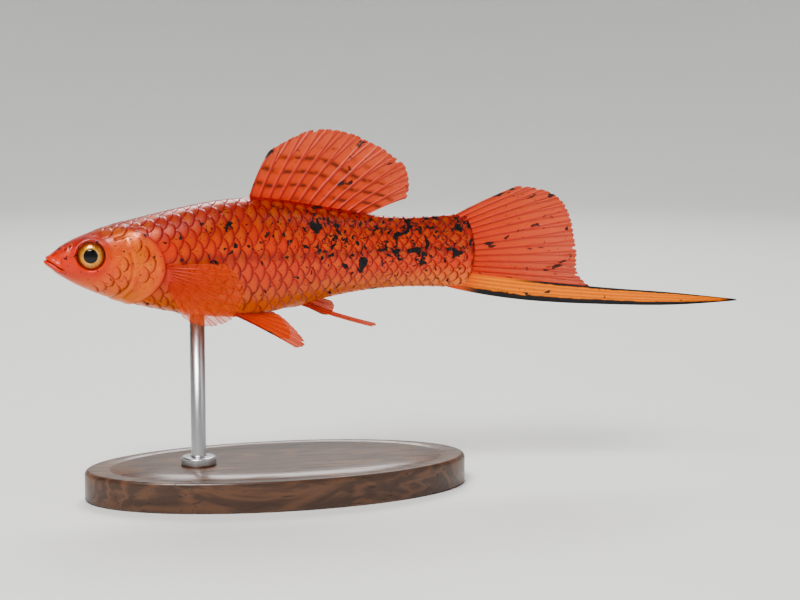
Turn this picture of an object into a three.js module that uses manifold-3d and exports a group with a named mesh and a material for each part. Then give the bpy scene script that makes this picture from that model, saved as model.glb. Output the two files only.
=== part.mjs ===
// Male swordtail (Xiphophorus hellerii), a life-size model on a small display stand.
// Millimetres, +Z up. The fish looks along -X and its left side faces -Y.
// The origin is on the table, under the middle of the whole model.
import * as THREE from "three";
import { mergeVertices } from "three/addons/utils/BufferGeometryUtils.js";
import Module from "manifold-3d";

const wasm = await Module();
wasm.setup();

// Driving dimensions. Places on the fish are percents of its standard length:
// s runs from the snout to the tail, h is the height over the body's axis.
// The lower lip reaches forward of the snout by SNOUT_REACH, in millimetres.
const STANDARD_LENGTH = 62;
const PERCENT = STANDARD_LENGTH / 100;
const SWORD_TIP = 172;
const SNOUT_REACH = 0.39;
const AXIS_HEIGHT = 35;
const GAP = 0.3;
const LEFT = -1;
const RIGHT = 1;

// Swimming wave, which carries the body and fins sideways.
const WAVE_LENGTH = 200;
const WAVE_START = 28;
const WAVE_HEAD = 0.4;
const WAVE_TAIL = 4.6;

// Body outline at its named stations: top, bottom, half width.
const STATIONS = [
  { name: "lips", s: 0, top: 0.9, bottom: 0.9, half: 0 },
  { name: "snout", s: 2, top: 3.1, bottom: -1.5, half: 2.9 },
  { name: "nostrils", s: 5, top: 4.9, bottom: -3.7, half: 4.4 },
  { name: "eyes", s: 10, top: 7.0, bottom: -6.3, half: 5.9 },
  { name: "cheek", s: 16, top: 8.9, bottom: -8.6, half: 7.1 },
  { name: "gill opening", s: 25, top: 11.1, bottom: -11.1, half: 7.9 },
  { name: "shoulder", s: 35, top: 13.1, bottom: -13.1, half: 8.1 },
  { name: "dorsal fin start", s: 47, top: 14.3, bottom: -13.9, half: 7.6 },
  { name: "vent", s: 59, top: 13.0, bottom: -12.1, half: 6.4 },
  { name: "dorsal fin end", s: 75, top: 10.1, bottom: -9.2, half: 4.5 },
  { name: "tail root", s: 90, top: 8.7, bottom: -8.5, half: 2.9 },
  { name: "tail base", s: 103, top: 9.3, bottom: -9.2, half: 1.0 },
];
const BODY_ROWS = 54;
const BODY_SIDES = 36;
const INNER_ROWS = 26;
const INNER_SIDES = 20;

const wave = (s) =>
  (WAVE_HEAD + WAVE_TAIL * Math.pow(Math.max(s, 0) / SWORD_TIP, 1.5)) *
  Math.sin((2 * Math.PI * (s - WAVE_START)) / WAVE_LENGTH);

// Natural cubic spline through pairs of x and y.
function spline(xs, ys) {
  const n = xs.length;
  const bend = new Array(n).fill(0);
  const carry = new Array(n).fill(0);
  for (let i = 1; i < n - 1; i++) {
    const before = xs[i] - xs[i - 1];
    const after = xs[i + 1] - xs[i];
    const slopes = (ys[i + 1] - ys[i]) / after - (ys[i] - ys[i - 1]) / before;
    const pivot = 2 * (before + after) - before * carry[i - 1];
    carry[i] = after / pivot;
    bend[i] = (6 * slopes - before * bend[i - 1]) / pivot;
  }
  for (let i = n - 2; i > 0; i--) bend[i] -= carry[i] * bend[i + 1];
  return (x) => {
    let i = 0;
    while (i < n - 2 && x > xs[i + 1]) i++;
    const h = xs[i + 1] - xs[i];
    const a = (xs[i + 1] - x) / h;
    const b = 1 - a;
    const curve = ((a ** 3 - a) * bend[i] + (b ** 3 - b) * bend[i + 1]) / 6;
    return a * ys[i] + b * ys[i + 1] + curve * h * h;
  };
}

// The square root of s as the spline's variable rounds the snout off.
const roots = STATIONS.map(({ s }) => Math.sqrt(s));
const along = (key) => {
  const curve = spline(
    roots,
    STATIONS.map((station) => station[key]),
  );
  return (s) => curve(Math.sqrt(Math.max(s, 0)));
};
const top = along("top");
const bottom = along("bottom");
const half = along("half");
const bell = (x, middle, width) => Math.exp(-(((x - middle) / width) ** 2));
const widest = (s) => 0.9 - 0.7 * Math.min(s / 100, 1);
// A higher power makes a section boxier: the head's top is broad and flat.
const crownPower = (s) => 2.05 + 0.7 * bell(s, 9, 9);
const bellyPower = (s) => 2.05 + 0.3 * bell(s, 12, 12);

// A point of the skin, at an angle that runs from the back over the left side to the belly.
function skinPoint(s, angle) {
  const up = Math.cos(angle);
  const out = Math.sin(angle);
  const upper = up >= 0;
  const power = 2 / (upper ? crownPower(s) : bellyPower(s));
  const reach = upper ? top(s) - widest(s) : widest(s) - bottom(s);
  return new THREE.Vector3(
    s,
    -Math.sign(out) * half(s) * Math.abs(out) ** power,
    widest(s) + Math.sign(up) * reach * Math.abs(up) ** power,
  ).multiplyScalar(PERCENT);
}

// The skin's half width in millimetres at a place seen from the side.
function skinHalf(s, h) {
  const upper = h >= widest(s);
  const power = upper ? crownPower(s) : bellyPower(s);
  const reach = upper ? top(s) - widest(s) : widest(s) - bottom(s);
  const share = Math.min(Math.abs((h - widest(s)) / reach), 1);
  return half(s) * (1 - share ** power) ** (1 / power) * PERCENT;
}

const place = (s, h, y = 0) =>
  new THREE.Vector3(s * PERCENT, y, h * PERCENT);
const onSkin = (s, h, side) => place(s, h, side * skinHalf(s, h));
function skinNormal(s, h, side) {
  const step = 0.4;
  const forward = onSkin(s + step, h, side).sub(onSkin(s - step, h, side));
  const upward = onSkin(s, h + step, side).sub(onSkin(s, h - step, side));
  return upward.cross(forward).multiplyScalar(side).normalize();
}

// A closed geometry from rings of equal length; both ends are closed by a fan.
function loft(rings) {
  const count = rings[0].length;
  const points = rings.flat();
  const faces = [];
  const corner = (ring, i) => ring * count + (i % count);
  for (let ring = 0; ring < rings.length - 1; ring++)
    for (let i = 0; i < count; i++)
      faces.push(
        [corner(ring, i), corner(ring, i + 1), corner(ring + 1, i)],
        [corner(ring, i + 1), corner(ring + 1, i + 1), corner(ring + 1, i)],
      );
  const middle = (ring) =>
    rings[ring]
      .reduce((sum, p) => sum.add(p), new THREE.Vector3())
      .divideScalar(count);
  const first = points.push(middle(0)) - 1;
  const last = points.push(middle(rings.length - 1)) - 1;
  for (let i = 0; i < count; i++)
    faces.push(
      [first, corner(0, i + 1), corner(0, i)],
      [last, corner(rings.length - 1, i), corner(rings.length - 1, i + 1)],
    );
  return new THREE.BufferGeometry()
    .setFromPoints(points)
    .setIndex(faces.flat());
}

function solidOf(geometry) {
  const bare = geometry.clone();
  bare.deleteAttribute("normal");
  bare.deleteAttribute("uv");
  const merged = mergeVertices(bare, 1e-4);
  const triVerts = new Uint32Array(merged.index.array);
  const mesh = (corners) =>
    new wasm.Manifold(
      new wasm.Mesh({
        numProp: 3,
        vertProperties: merged.attributes.position.array,
        triVerts: corners,
      }),
    );
  const made = mesh(triVerts);
  if (made.volume() > 0) return made;
  return mesh(triVerts.slice().reverse());
}

// Only the largest closed body of a cut or joined solid is kept.
const largest = (solid) =>
  solid.decompose().reduce((a, b) => (a.volume() > b.volume() ? a : b));

// Draws the ends of very short edges together, and drops the faces that this closes.
const SHORTEST_EDGE = 0.015;
function withoutSlivers(points, faces) {
  const owner = points.map((_, i) => i);
  const find = (i) => (owner[i] === i ? i : (owner[i] = find(owner[i])));
  for (const face of faces)
    face.forEach((a, k) => {
      const b = face[(k + 1) % 3];
      if (points[a].distanceTo(points[b]) < SHORTEST_EDGE) owner[find(a)] = find(b);
    });
  const kept = new Map();
  for (const face of faces.map((corners) => corners.map(find))) {
    if (new Set(face).size < 3) continue;
    const key = [...face].sort((a, b) => a - b).join();
    if (kept.has(key)) kept.delete(key);
    else kept.set(key, face);
  }
  return [...kept.values()];
}

function geometryOf(solid) {
  const { vertProperties, triVerts } = largest(solid).getMesh();
  const points = [];
  for (let i = 0; i < vertProperties.length; i += 3)
    points.push(new THREE.Vector3().fromArray(vertProperties, i));
  const faces = [];
  for (let i = 0; i < triVerts.length; i += 3) faces.push([...triVerts.slice(i, i + 3)]);
  return new THREE.BufferGeometry()
    .setFromPoints(points)
    .setIndex(withoutSlivers(points, faces).flat());
}

// The body as a solid, its skin moved out or in by a distance.
function bodySolid(offset, rows = BODY_ROWS, sides = BODY_SIDES) {
  const tail = STATIONS.at(-1).s;
  const rings = [];
  for (let row = 1; row <= rows; row++) {
    const s = tail * (row / rows) ** 2;
    const ring = [];
    for (let i = 0; i < sides; i++)
      ring.push(skinPoint(s, (2 * Math.PI * i) / sides));
    rings.push(ring);
  }
  const geometry = loft(rings);
  geometry.computeVertexNormals();
  const { position, normal } = geometry.attributes;
  const outward = normal.getX(position.count - 2) < 0 ? 1 : -1;
  for (let i = 0; i < position.count; i++) {
    const n = new THREE.Vector3().fromBufferAttribute(normal, i);
    const p = new THREE.Vector3().fromBufferAttribute(position, i);
    p.addScaledVector(n, offset * outward);
    position.setXYZ(i, p.x, p.y, p.z);
  }
  return solidOf(geometry);
}

// A prism through the whole width from an outline seen from the side.
function sidePrism(outline, from, to) {
  const shape = new THREE.Shape(
    outline.map(([s, h]) => new THREE.Vector2(s * PERCENT, h * PERCENT)),
  );
  const geometry = new THREE.ExtrudeGeometry(shape, {
    depth: to - from,
    bevelEnabled: false,
  });
  geometry.rotateX(Math.PI / 2);
  geometry.translate(0, to, 0);
  return solidOf(geometry);
}

// A tube whose radius changes along its points, which run roughly level.
function tube(points, radius, sides) {
  const rings = points.map((point, i) => {
    const before = points[Math.max(i - 1, 0)];
    const after = points[Math.min(i + 1, points.length - 1)];
    const direction = after.clone().sub(before).normalize();
    const across = new THREE.Vector3(0, 0, 1);
    across.addScaledVector(direction, -direction.z).normalize();
    const other = direction.clone().cross(across);
    const size = radius(i / (points.length - 1));
    return Array.from({ length: sides }, (_, k) => {
      const turn = (2 * Math.PI * k) / sides;
      return point
        .clone()
        .addScaledVector(across, size * Math.cos(turn))
        .addScaledVector(other, size * Math.sin(turn));
    });
  });
  return solidOf(loft(rings));
}

// Fin sizes: rays are ridges raised on the membrane, and thin out to the margin.
const RAY_ROOT = 1.0;
const RAY_TIP = 0.5;
const MEMBRANE_ROOT = 0.62;
const MEMBRANE_TIP = 0.4;
const WEB_SHORTER = 0.975;

// A fin from its middle surface, a function of u (root to margin) and v (first ray to last).
function fin(surface, rays, rows, thicker = 1) {
  const columns = 2 * (rays - 1);
  const step = 0.01;
  const sides = [[], []];
  for (let row = 0; row <= rows; row++)
    for (let column = 0; column <= columns; column++) {
      const onRay = column % 2 === 0;
      const v = column / columns;
      const u = (row / rows) * (onRay ? 1 : WEB_SHORTER);
      const alongRay = surface(u + step, v).sub(surface(u - step, v));
      const acrossRays = surface(u, v + step).sub(surface(u, v - step));
      const normal = alongRay.cross(acrossRays).normalize();
      const [root, tip] = onRay
        ? [RAY_ROOT, RAY_TIP]
        : [MEMBRANE_ROOT, MEMBRANE_TIP];
      const thickness = thicker * THREE.MathUtils.lerp(root, tip, u);
      [1, -1].forEach((face, k) =>
        sides[k].push(surface(u, v).addScaledVector(normal, (face * thickness) / 2)),
      );
    }
  const count = sides[0].length;
  const faces = [];
  const at = (row, column) => row * (columns + 1) + column;
  for (let row = 0; row < rows; row++)
    for (let column = 0; column < columns; column++) {
      const a = at(row, column);
      const b = at(row, column + 1);
      const c = at(row + 1, column + 1);
      const d = at(row + 1, column);
      const halves = (row + column) % 2 ? [[a, b, c], [a, c, d]] : [[a, b, d], [b, c, d]];
      for (const [p, q, r] of halves)
        faces.push([p, q, r], [count + p, count + r, count + q]);
    }
  const rim = [];
  for (let column = 0; column < columns; column++) rim.push(at(0, column));
  for (let row = 0; row < rows; row++) rim.push(at(row, columns));
  for (let column = columns; column > 0; column--) rim.push(at(rows, column));
  for (let row = rows; row > 0; row--) rim.push(at(row, 0));
  rim.forEach((a, i) => {
    const b = rim[(i + 1) % rim.length];
    faces.push([b, a, count + a], [b, count + a, count + b]);
  });
  return solidOf(
    new THREE.BufferGeometry()
      .setFromPoints(sides.flat())
      .setIndex(faces.flat()),
  );
}

// A ray of a fin seen flat: it leaves its root at an angle in degrees and bends by another.
function rayPoint(root, angle, bend, length, u) {
  const turn = THREE.MathUtils.degToRad(angle + (bend * u) / 2);
  return [
    root[0] + length * u * Math.cos(turn),
    root[1] + length * u * Math.sin(turn),
  ];
}
const mix = THREE.MathUtils.lerp;
const evenly = (values) =>
  spline(
    values.map((_, i) => i / (values.length - 1)),
    values,
  );

const body = bodySolid(0);
const clearOfBody = bodySolid(GAP);

// Head, gill covers and trunk: the gill opening is an arc of an ellipse.
const GILL = { s: 14.5, h: -0.6, along: 11.8, high: 9.6 };
const GILL_ARC_TOP = 58;
const GILL_ARC_BOTTOM = -90;
const COVER_ARC_TOP = 51;
const COVER_ARC_BOTTOM = -72;
const COVER_FRONT = { s: 12.4, h: -0.6, along: 6.6, high: 7.4, top: 62, bottom: -80 };
const COVER_THICK = 1.1;
const COVER_INNER = 0.8;
const COVER_BEYOND = 2;
const NAPE_LEAN = 1.5;
const TAIL_CUT = 77;
const ARC_STEPS = 14;
const FAR = 40;

const arc = (ellipse, from, to, grow = 0) =>
  Array.from({ length: ARC_STEPS + 1 }, (_, i) => {
    const turn = THREE.MathUtils.degToRad(mix(from, to, i / ARC_STEPS));
    return [
      ellipse.s + (ellipse.along + grow) * Math.cos(turn),
      ellipse.h + (ellipse.high + grow) * Math.sin(turn),
    ];
  });
function headOutline(grow) {
  const edge = arc(GILL, GILL_ARC_BOTTOM, GILL_ARC_TOP, grow);
  return [
    [-FAR, -FAR],
    [edge[0][0], -FAR],
    ...edge,
    [edge.at(-1)[0] - NAPE_LEAN, FAR],
    [-FAR, FAR],
  ];
}
const coverOutline = [
  ...arc(GILL, COVER_ARC_BOTTOM, COVER_ARC_TOP, COVER_BEYOND),
  ...arc(COVER_FRONT, COVER_FRONT.top, COVER_FRONT.bottom),
];
// An outline that runs counter-clockwise, moved outwards by a distance with mitred corners.
function grown(outline, distance) {
  const corners = outline.map(([s, h]) => new THREE.Vector2(s, h));
  const outward = corners.map((corner, i) => {
    const edge = corners[(i + 1) % corners.length].clone().sub(corner).normalize();
    return new THREE.Vector2(edge.y, -edge.x);
  });
  return corners.map((corner, i) => {
    const before = outward.at(i - 1);
    const shift = before.clone().add(outward[i]);
    shift.multiplyScalar(distance / (1 + before.dot(outward[i])));
    return corner.add(shift).toArray();
  });
}
const gapShare = GAP / PERCENT;
const headSpace = sidePrism(headOutline(0), -FAR, FAR);
const trunkSpace = sidePrism(headOutline(gapShare), -FAR, FAR);
const wholeHead = largest(body.intersect(headSpace));
const beyondTail = (from) =>
  sidePrism([[from, -FAR], [3 * FAR, -FAR], [3 * FAR, FAR], [from, FAR]], -FAR, FAR);
const trunk = body.subtract(trunkSpace).subtract(beyondTail(TAIL_CUT));
const tailRoot = body.intersect(beyondTail(TAIL_CUT + gapShare));

const coverInside = bodySolid(-COVER_THICK, INNER_ROWS, INNER_SIDES);
const coverBed = bodySolid(-COVER_THICK - GAP, INNER_ROWS, INNER_SIDES);
function coverSpace(side, grow) {
  const inner = COVER_INNER - grow * PERCENT;
  const limits = side === LEFT ? [-FAR, -inner] : [inner, FAR];
  return sidePrism(grown(coverOutline, grow), ...limits);
}
const gillCover = (side) =>
  wholeHead.intersect(coverSpace(side, 0)).subtract(coverInside);

// Eyes, turned to look along the skin's normal.
const EYE = { s: 9.7, h: 2.2, radius: 2.25, thick: 1.55, sunk: 1.2 };
const ORBIT = { wider: 0.5, lower: 0.22 };
function eyeSolid(side, wider, thicker) {
  const geometry = new THREE.SphereGeometry(1, 22, 12);
  geometry.rotateX(Math.PI / 2);
  geometry.scale(EYE.radius + wider, EYE.radius + wider, EYE.thick + thicker);
  const normal = skinNormal(EYE.s, EYE.h, side);
  geometry.applyQuaternion(
    new THREE.Quaternion().setFromUnitVectors(new THREE.Vector3(0, 0, 1), normal),
  );
  const middle = onSkin(EYE.s, EYE.h, side).addScaledVector(normal, -EYE.sunk);
  geometry.translate(middle.x, middle.y, middle.z);
  return solidOf(geometry);
}
const eyeball = (side, grow) => eyeSolid(side, grow, grow);
const orbit = (side) => eyeSolid(side, ORBIT.wider, -ORBIT.lower);

// The mouth is small and turned up. Its slit slopes down to the corners of the jaw.
const MOUTH = { front: 0.5, corner: 3.4, tip: 1.2, slope: -0.6, slit: 0.22 };
const LIP = { radius: 0.42, raised: 0.58, round: 1.7, taper: 0.72, steps: 16 };
const CHIN_FORWARD = 0.28;
function lip(raise, forward) {
  const points = [];
  for (let i = 0; i <= LIP.steps; i++) {
    const t = (2 * i) / LIP.steps - 1;
    const s = MOUTH.corner * Math.abs(t) ** LIP.round + MOUTH.front;
    const h = MOUTH.tip + MOUTH.slope * s + raise;
    const p = onSkin(s, h, Math.sign(t) || 1);
    if (t === 0) p.y = 0;
    points.push(p.add(new THREE.Vector3(-forward * (1 - Math.abs(t)), 0, 0)));
  }
  const thinner = (t) => 1 - LIP.taper * Math.abs(2 * t - 1) ** 3;
  return tube(points, (t) => LIP.radius * thinner(t), 8);
}
function mouthSlit() {
  const length = 9 * PERCENT;
  const geometry = new THREE.BoxGeometry(length, FAR, MOUTH.slit);
  geometry.translate(-length / 2, 0, 0);
  geometry.rotateY(-Math.atan(MOUTH.slope));
  const back = place(MOUTH.corner, MOUTH.tip + MOUTH.slope * MOUTH.corner);
  geometry.translate(back.x, back.y, back.z);
  return solidOf(geometry);
}
const NOSTRIL = { s: 4.6, h: 3.6, radius: 0.36 };
function nostril(side) {
  const middle = onSkin(NOSTRIL.s, NOSTRIL.h, side);
  const geometry = new THREE.SphereGeometry(NOSTRIL.radius, 10, 7);
  geometry.translate(middle.x, middle.y, middle.z);
  return solidOf(geometry);
}

const head = [LEFT, RIGHT].reduce(
  (made, side) =>
    made
      .add(orbit(side))
      .subtract(eyeball(side, GAP))
      .subtract(nostril(side))
      .subtract(coverSpace(side, gapShare).subtract(coverBed)),
  wholeHead
    .add(lip(LIP.raised, 0))
    .add(lip(-LIP.raised, CHIN_FORWARD))
    .subtract(mouthSlit()),
);

// Dorsal fin: a tall sail of soft rays, rounded at the back.
const DORSAL = { from: 48, to: 76, sunk: 1.6, bend: -16, ripple: 0.45, rays: 13 };
const dorsalLength = evenly([12.5, 19.2, 21.8, 22.2, 21.2, 18.6, 13.5]);
const dorsalAngle = evenly([74, 63, 52, 41, 29]);
function dorsalSurface(u, v) {
  const s = mix(DORSAL.from, DORSAL.to, v);
  const root = [s, top(s) - DORSAL.sunk];
  const length = dorsalLength(v) + DORSAL.sunk;
  const [x, h] = rayPoint(root, dorsalAngle(v), DORSAL.bend, length, u);
  return place(x, h, DORSAL.ripple * u * Math.sin(5 * v + 0.5));
}

// Tail fan and sword: the sword is the lowest rays, drawn out to a point.
const FAN = { s: 99.5, top: 8.3, bottom: -5.6, curl: 12, level: 0.6, ripple: 0.35, rays: 14 };
const fanLength = evenly([21.5, 27.0, 30.2, 31.4, 31.6, 32.6, 36]);
const fanAngle = evenly([27, 18, 8, -3, -12]);
function fanSurface(u, v) {
  const root = [FAN.s, mix(FAN.top, FAN.bottom, v)];
  const bend = FAN.curl * (v - FAN.level);
  const [s, h] = rayPoint(root, fanAngle(v), bend, fanLength(v), u);
  return place(s, h, FAN.ripple * u * u * Math.sin(7 * v));
}
const SWORD = { root: [99.5, -6.9], turn: [122, -12.2], tip: [SWORD_TIP, -13.4], rays: 5 };
const swordHalf = evenly([2.1, 2.35, 2.5, 2.35, 2.0, 1.5, 0.16]);
const swordLine = new THREE.QuadraticBezierCurve(
  new THREE.Vector2(...SWORD.root),
  new THREE.Vector2(...SWORD.turn),
  new THREE.Vector2(...SWORD.tip),
);
// Past both ends of its line the sword runs straight on.
const swordSurface = (wider) => (u, v) => {
  const t = THREE.MathUtils.clamp(u, 0, 1);
  const line = swordLine.getPoint(t);
  const direction = swordLine.getTangent(t);
  const across = (swordHalf(t) + wider) * (1 - 2 * v);
  const s = line.x - direction.y * across + (u - t) * FAR;
  return place(s, line.y + direction.x * across);
};

// Paired fins. side is LEFT or RIGHT.
const PECTORAL = {
  s: 25.6, lean: 0.8, top: -0.6, bottom: -4.4, sunk: 0.7, bend: -8, spread: 31, cup: 0.022, rays: 11,
};
const pectoralLength = evenly([18, 22, 22.5, 20, 15.5, 10.5]);
const pectoralAngle = evenly([6, -8, -22, -38, -56]);
const pectoralSurface = (side) => (u, v) => {
  const h = mix(PECTORAL.top, PECTORAL.bottom, v);
  const root = [PECTORAL.s + PECTORAL.lean * v, h];
  const [s, high] = rayPoint(root, pectoralAngle(v), PECTORAL.bend, pectoralLength(v), u);
  const back = (s - root[0]) * PERCENT;
  const turn = THREE.MathUtils.degToRad(PECTORAL.spread);
  const out = back * Math.sin(turn) - PECTORAL.cup * back * back;
  const rootOut = skinHalf(root[0], h) - PECTORAL.sunk;
  const p = place(root[0], high, side * (rootOut + out));
  p.x += back * Math.cos(turn);
  return p;
};

const PELVIC = {
  from: 43, to: 46, sunk: 1.5, outer: 2.3, inner: 0.95, bend: -6, spread: 0.19, rays: 6,
};
const pelvicLength = evenly([17.5, 18.5, 16, 12.5, 9]);
const pelvicAngle = evenly([-27, -23, -18, -12, -4]);
const pelvicSurface = (side) => (u, v) => {
  const s = mix(PELVIC.from, PELVIC.to, v);
  const out = mix(PELVIC.outer, PELVIC.inner, v);
  const root = [s, bottom(s) + PELVIC.sunk];
  const [x, h] = rayPoint(root, pelvicAngle(v), PELVIC.bend, pelvicLength(v), u);
  const away = PELVIC.spread * u * pelvicLength(v) * PERCENT * (1 - 0.45 * v);
  return place(x, h, side * (out + away));
};

// The male's anal fin: three long rays make a rod, and short rays follow it.
const ROD = {
  from: 57.5, to: 59.4, sunk: 2, length: 23, angle: -23, bend: 8, narrow: 0.42, rays: 3,
};
function rodSurface(u, v) {
  const s = mix(ROD.from, ROD.to, v);
  const root = [s, bottom(s) + ROD.sunk];
  const narrowing = mix(1, ROD.narrow, u);
  const [x, h] = rayPoint(root, ROD.angle, ROD.bend, ROD.length, u);
  const middle = mix(ROD.from, ROD.to, 0.5);
  return place(x + (s - middle) * (narrowing - 1), h + (s - middle) * (1 - narrowing) * 0.5);
}
const SHORT_RAYS = { from: 59.2, to: 64, sunk: 1.6, first: -30, last: -20, bend: 4, rays: 4 };
const shortLength = evenly([10.5, 8.6, 6.4]);
function shortSurface(u, v) {
  const s = mix(SHORT_RAYS.from, SHORT_RAYS.to, v);
  const root = [s, bottom(s) + SHORT_RAYS.sunk];
  const angle = mix(SHORT_RAYS.first, SHORT_RAYS.last, v);
  return place(...rayPoint(root, angle, SHORT_RAYS.bend, shortLength(v), u));
}

const onBody = (solid) => solid.subtract(clearOfBody);
const sword = onBody(fin(swordSurface(0), SWORD.rays, 18, 1.12));
const swordSpace = fin(swordSurface(gapShare), SWORD.rays, 18, 2.2);
const fan = onBody(fin(fanSurface, FAN.rays, 9)).subtract(swordSpace);
const rodPart = fin(rodSurface, ROD.rays, 10, 1.15);
const shortPart = fin(shortSurface, SHORT_RAYS.rays, 4);

// Materials, for a red fish with black flecks.
const finish = (color, roughness, metalness = 0) =>
  new THREE.MeshStandardMaterial({ color, roughness, metalness });
const skin = finish(0xc8401a, 0.35);
const finRed = finish(0xd8582a, 0.45);
const swordGold = finish(0xe39a2c, 0.4);
const eyeDark = finish(0x1a120c, 0.1);
const walnut = finish(0x4a2c1a, 0.4);
const steel = finish(0xb9bcc0, 0.25, 1);

// The fish's pieces, carried sideways by the swimming wave.
const fish = new THREE.Group();
fish.position.set((SNOUT_REACH - SWORD_TIP * PERCENT) / 2, 0, AXIS_HEIGHT);
function carried(geometry) {
  const { position } = geometry.attributes;
  for (let i = 0; i < position.count; i++)
    position.setY(i, position.getY(i) + wave(position.getX(i) / PERCENT));
  return geometry;
}
function addPiece(name, solid, material) {
  const mesh = new THREE.Mesh(carried(geometryOf(solid)), material);
  mesh.name = name;
  fish.add(mesh);
}
addPiece("head", head, skin);
addPiece("torso", trunk, skin);
addPiece("tail_root", tailRoot, skin);
addPiece("dorsal_fin", onBody(fin(dorsalSurface, DORSAL.rays, 9)), finRed);
addPiece("tail_fin", fan, finRed);
addPiece("tail_sword", sword, swordGold);
addPiece("gonopodium", onBody(rodPart.add(shortPart)), finRed);
for (const [name, side] of [["left", LEFT], ["right", RIGHT]]) {
  addPiece(`gill_cover_${name}`, gillCover(side), skin);
  addPiece(`eye_${name}`, eyeball(side, 0), eyeDark);
  const pectoral = fin(pectoralSurface(side), PECTORAL.rays, 7);
  addPiece(`pectoral_fin_${name}`, onBody(pectoral), finRed);
  const pelvic = fin(pelvicSurface(side), PELVIC.rays, 7);
  addPiece(`pelvic_fin_${name}`, onBody(pelvic), finRed);
}

// Display stand: an oval base and one short rod up to the belly.
const BASE = { x: -19, length: 58, width: 30, height: 4.5, bevel: 0.7 };
const STAND_ROD = { s: 35.5, radius: 1.1, foot: 2.6, footHigh: 1.0, bevel: 0.4 };
const around = (profile, sides) =>
  new THREE.LatheGeometry(
    profile.map(([r, z]) => new THREE.Vector2(r, z)),
    sides,
  ).rotateX(Math.PI / 2);
const stand = new THREE.Group();
const reach = BASE.length / 2;
const plate = around(
  [
    [0, 0],
    [reach - BASE.bevel / 2, 0],
    [reach, BASE.bevel / 2],
    [reach, BASE.height - BASE.bevel],
    [reach - BASE.bevel, BASE.height],
    [0, BASE.height],
  ],
  64,
).scale(1, BASE.width / BASE.length, 1);
const base = new THREE.Mesh(geometryOf(solidOf(plate)), walnut);
base.name = "stand_base";
base.position.set(BASE.x, 0, 0);
stand.add(base);

const rodFoot = BASE.height + GAP;
const rodTop = AXIS_HEIGHT;
const post = around(
  [
    [0, 0],
    [STAND_ROD.foot, 0],
    [STAND_ROD.foot, STAND_ROD.footHigh - STAND_ROD.bevel],
    [STAND_ROD.foot - STAND_ROD.bevel, STAND_ROD.footHigh],
    [STAND_ROD.radius, STAND_ROD.footHigh],
    [STAND_ROD.radius, rodTop - rodFoot],
    [0, rodTop - rodFoot],
  ],
  24,
);
const rodPlace = new THREE.Vector3(
  fish.position.x + STAND_ROD.s * PERCENT,
  wave(STAND_ROD.s),
  rodFoot,
);
const bodyHere = carried(geometryOf(clearOfBody));
bodyHere.translate(
  fish.position.x - rodPlace.x,
  -rodPlace.y,
  fish.position.z - rodPlace.z,
);
const rod = new THREE.Mesh(
  geometryOf(solidOf(post).subtract(solidOf(bodyHere))),
  steel,
);
rod.name = "stand_rod";
rod.position.copy(rodPlace);
stand.add(rod);

const swordtail = new THREE.Group();
swordtail.add(fish, stand);

export default swordtail;
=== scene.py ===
"""A male swordtail as a still, life-size model on a display stand, laid out as an add-on.

Shapes are worked out in millimetres. Places on the fish are percents of its standard length:
s runs from the snout to the tail, and h is the height over the body's axis. The fish looks
along -X, and its left side faces -Y.
"""
import math

import bpy
import numpy as np
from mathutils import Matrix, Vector


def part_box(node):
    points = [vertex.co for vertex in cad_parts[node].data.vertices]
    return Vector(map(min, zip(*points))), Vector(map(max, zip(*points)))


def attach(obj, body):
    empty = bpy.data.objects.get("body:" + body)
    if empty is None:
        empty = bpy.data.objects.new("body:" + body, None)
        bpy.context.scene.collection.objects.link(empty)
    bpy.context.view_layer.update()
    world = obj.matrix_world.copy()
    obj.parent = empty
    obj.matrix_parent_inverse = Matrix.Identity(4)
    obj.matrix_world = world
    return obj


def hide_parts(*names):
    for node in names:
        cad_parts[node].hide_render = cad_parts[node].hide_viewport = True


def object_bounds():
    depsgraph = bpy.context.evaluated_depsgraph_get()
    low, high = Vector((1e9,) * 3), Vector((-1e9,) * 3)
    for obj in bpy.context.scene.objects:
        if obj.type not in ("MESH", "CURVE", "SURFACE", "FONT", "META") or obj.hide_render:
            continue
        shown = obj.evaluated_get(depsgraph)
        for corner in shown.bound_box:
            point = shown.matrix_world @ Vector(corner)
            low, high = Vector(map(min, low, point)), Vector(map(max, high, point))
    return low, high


bl_info = {
    "name": "Swordtail Model",
    "version": (1, 0, 0),
    "blender": (4, 5, 0),
    "location": "View3D > Sidebar > Swordtail",
    "description": "Builds a life-size swordtail on a display stand",
    "category": "Add Mesh",
}

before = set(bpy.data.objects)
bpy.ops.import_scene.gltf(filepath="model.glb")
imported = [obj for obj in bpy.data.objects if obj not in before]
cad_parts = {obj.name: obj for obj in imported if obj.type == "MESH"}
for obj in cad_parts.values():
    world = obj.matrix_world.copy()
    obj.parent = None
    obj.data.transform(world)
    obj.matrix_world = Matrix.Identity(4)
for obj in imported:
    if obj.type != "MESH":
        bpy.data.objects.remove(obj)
SOLID_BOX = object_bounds()

# Driving dimensions, as in the solids.
MM = 0.001
STANDARD_LENGTH = 62.0
PERCENT = STANDARD_LENGTH / 100
SWORD_TIP = 172.0
TAIL_BASE = 103.0
SNOUT_REACH = 0.39
AXIS_HEIGHT = 35.0
LEFT, RIGHT = -1, 1
SIDES = (("left", LEFT), ("right", RIGHT))
ORIGIN = np.array([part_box("head")[0].x / MM + SNOUT_REACH, 0.0, AXIS_HEIGHT])
WAVE_LENGTH, WAVE_START, WAVE_HEAD, WAVE_TAIL = 200.0, 28.0, 0.4, 4.6

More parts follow.
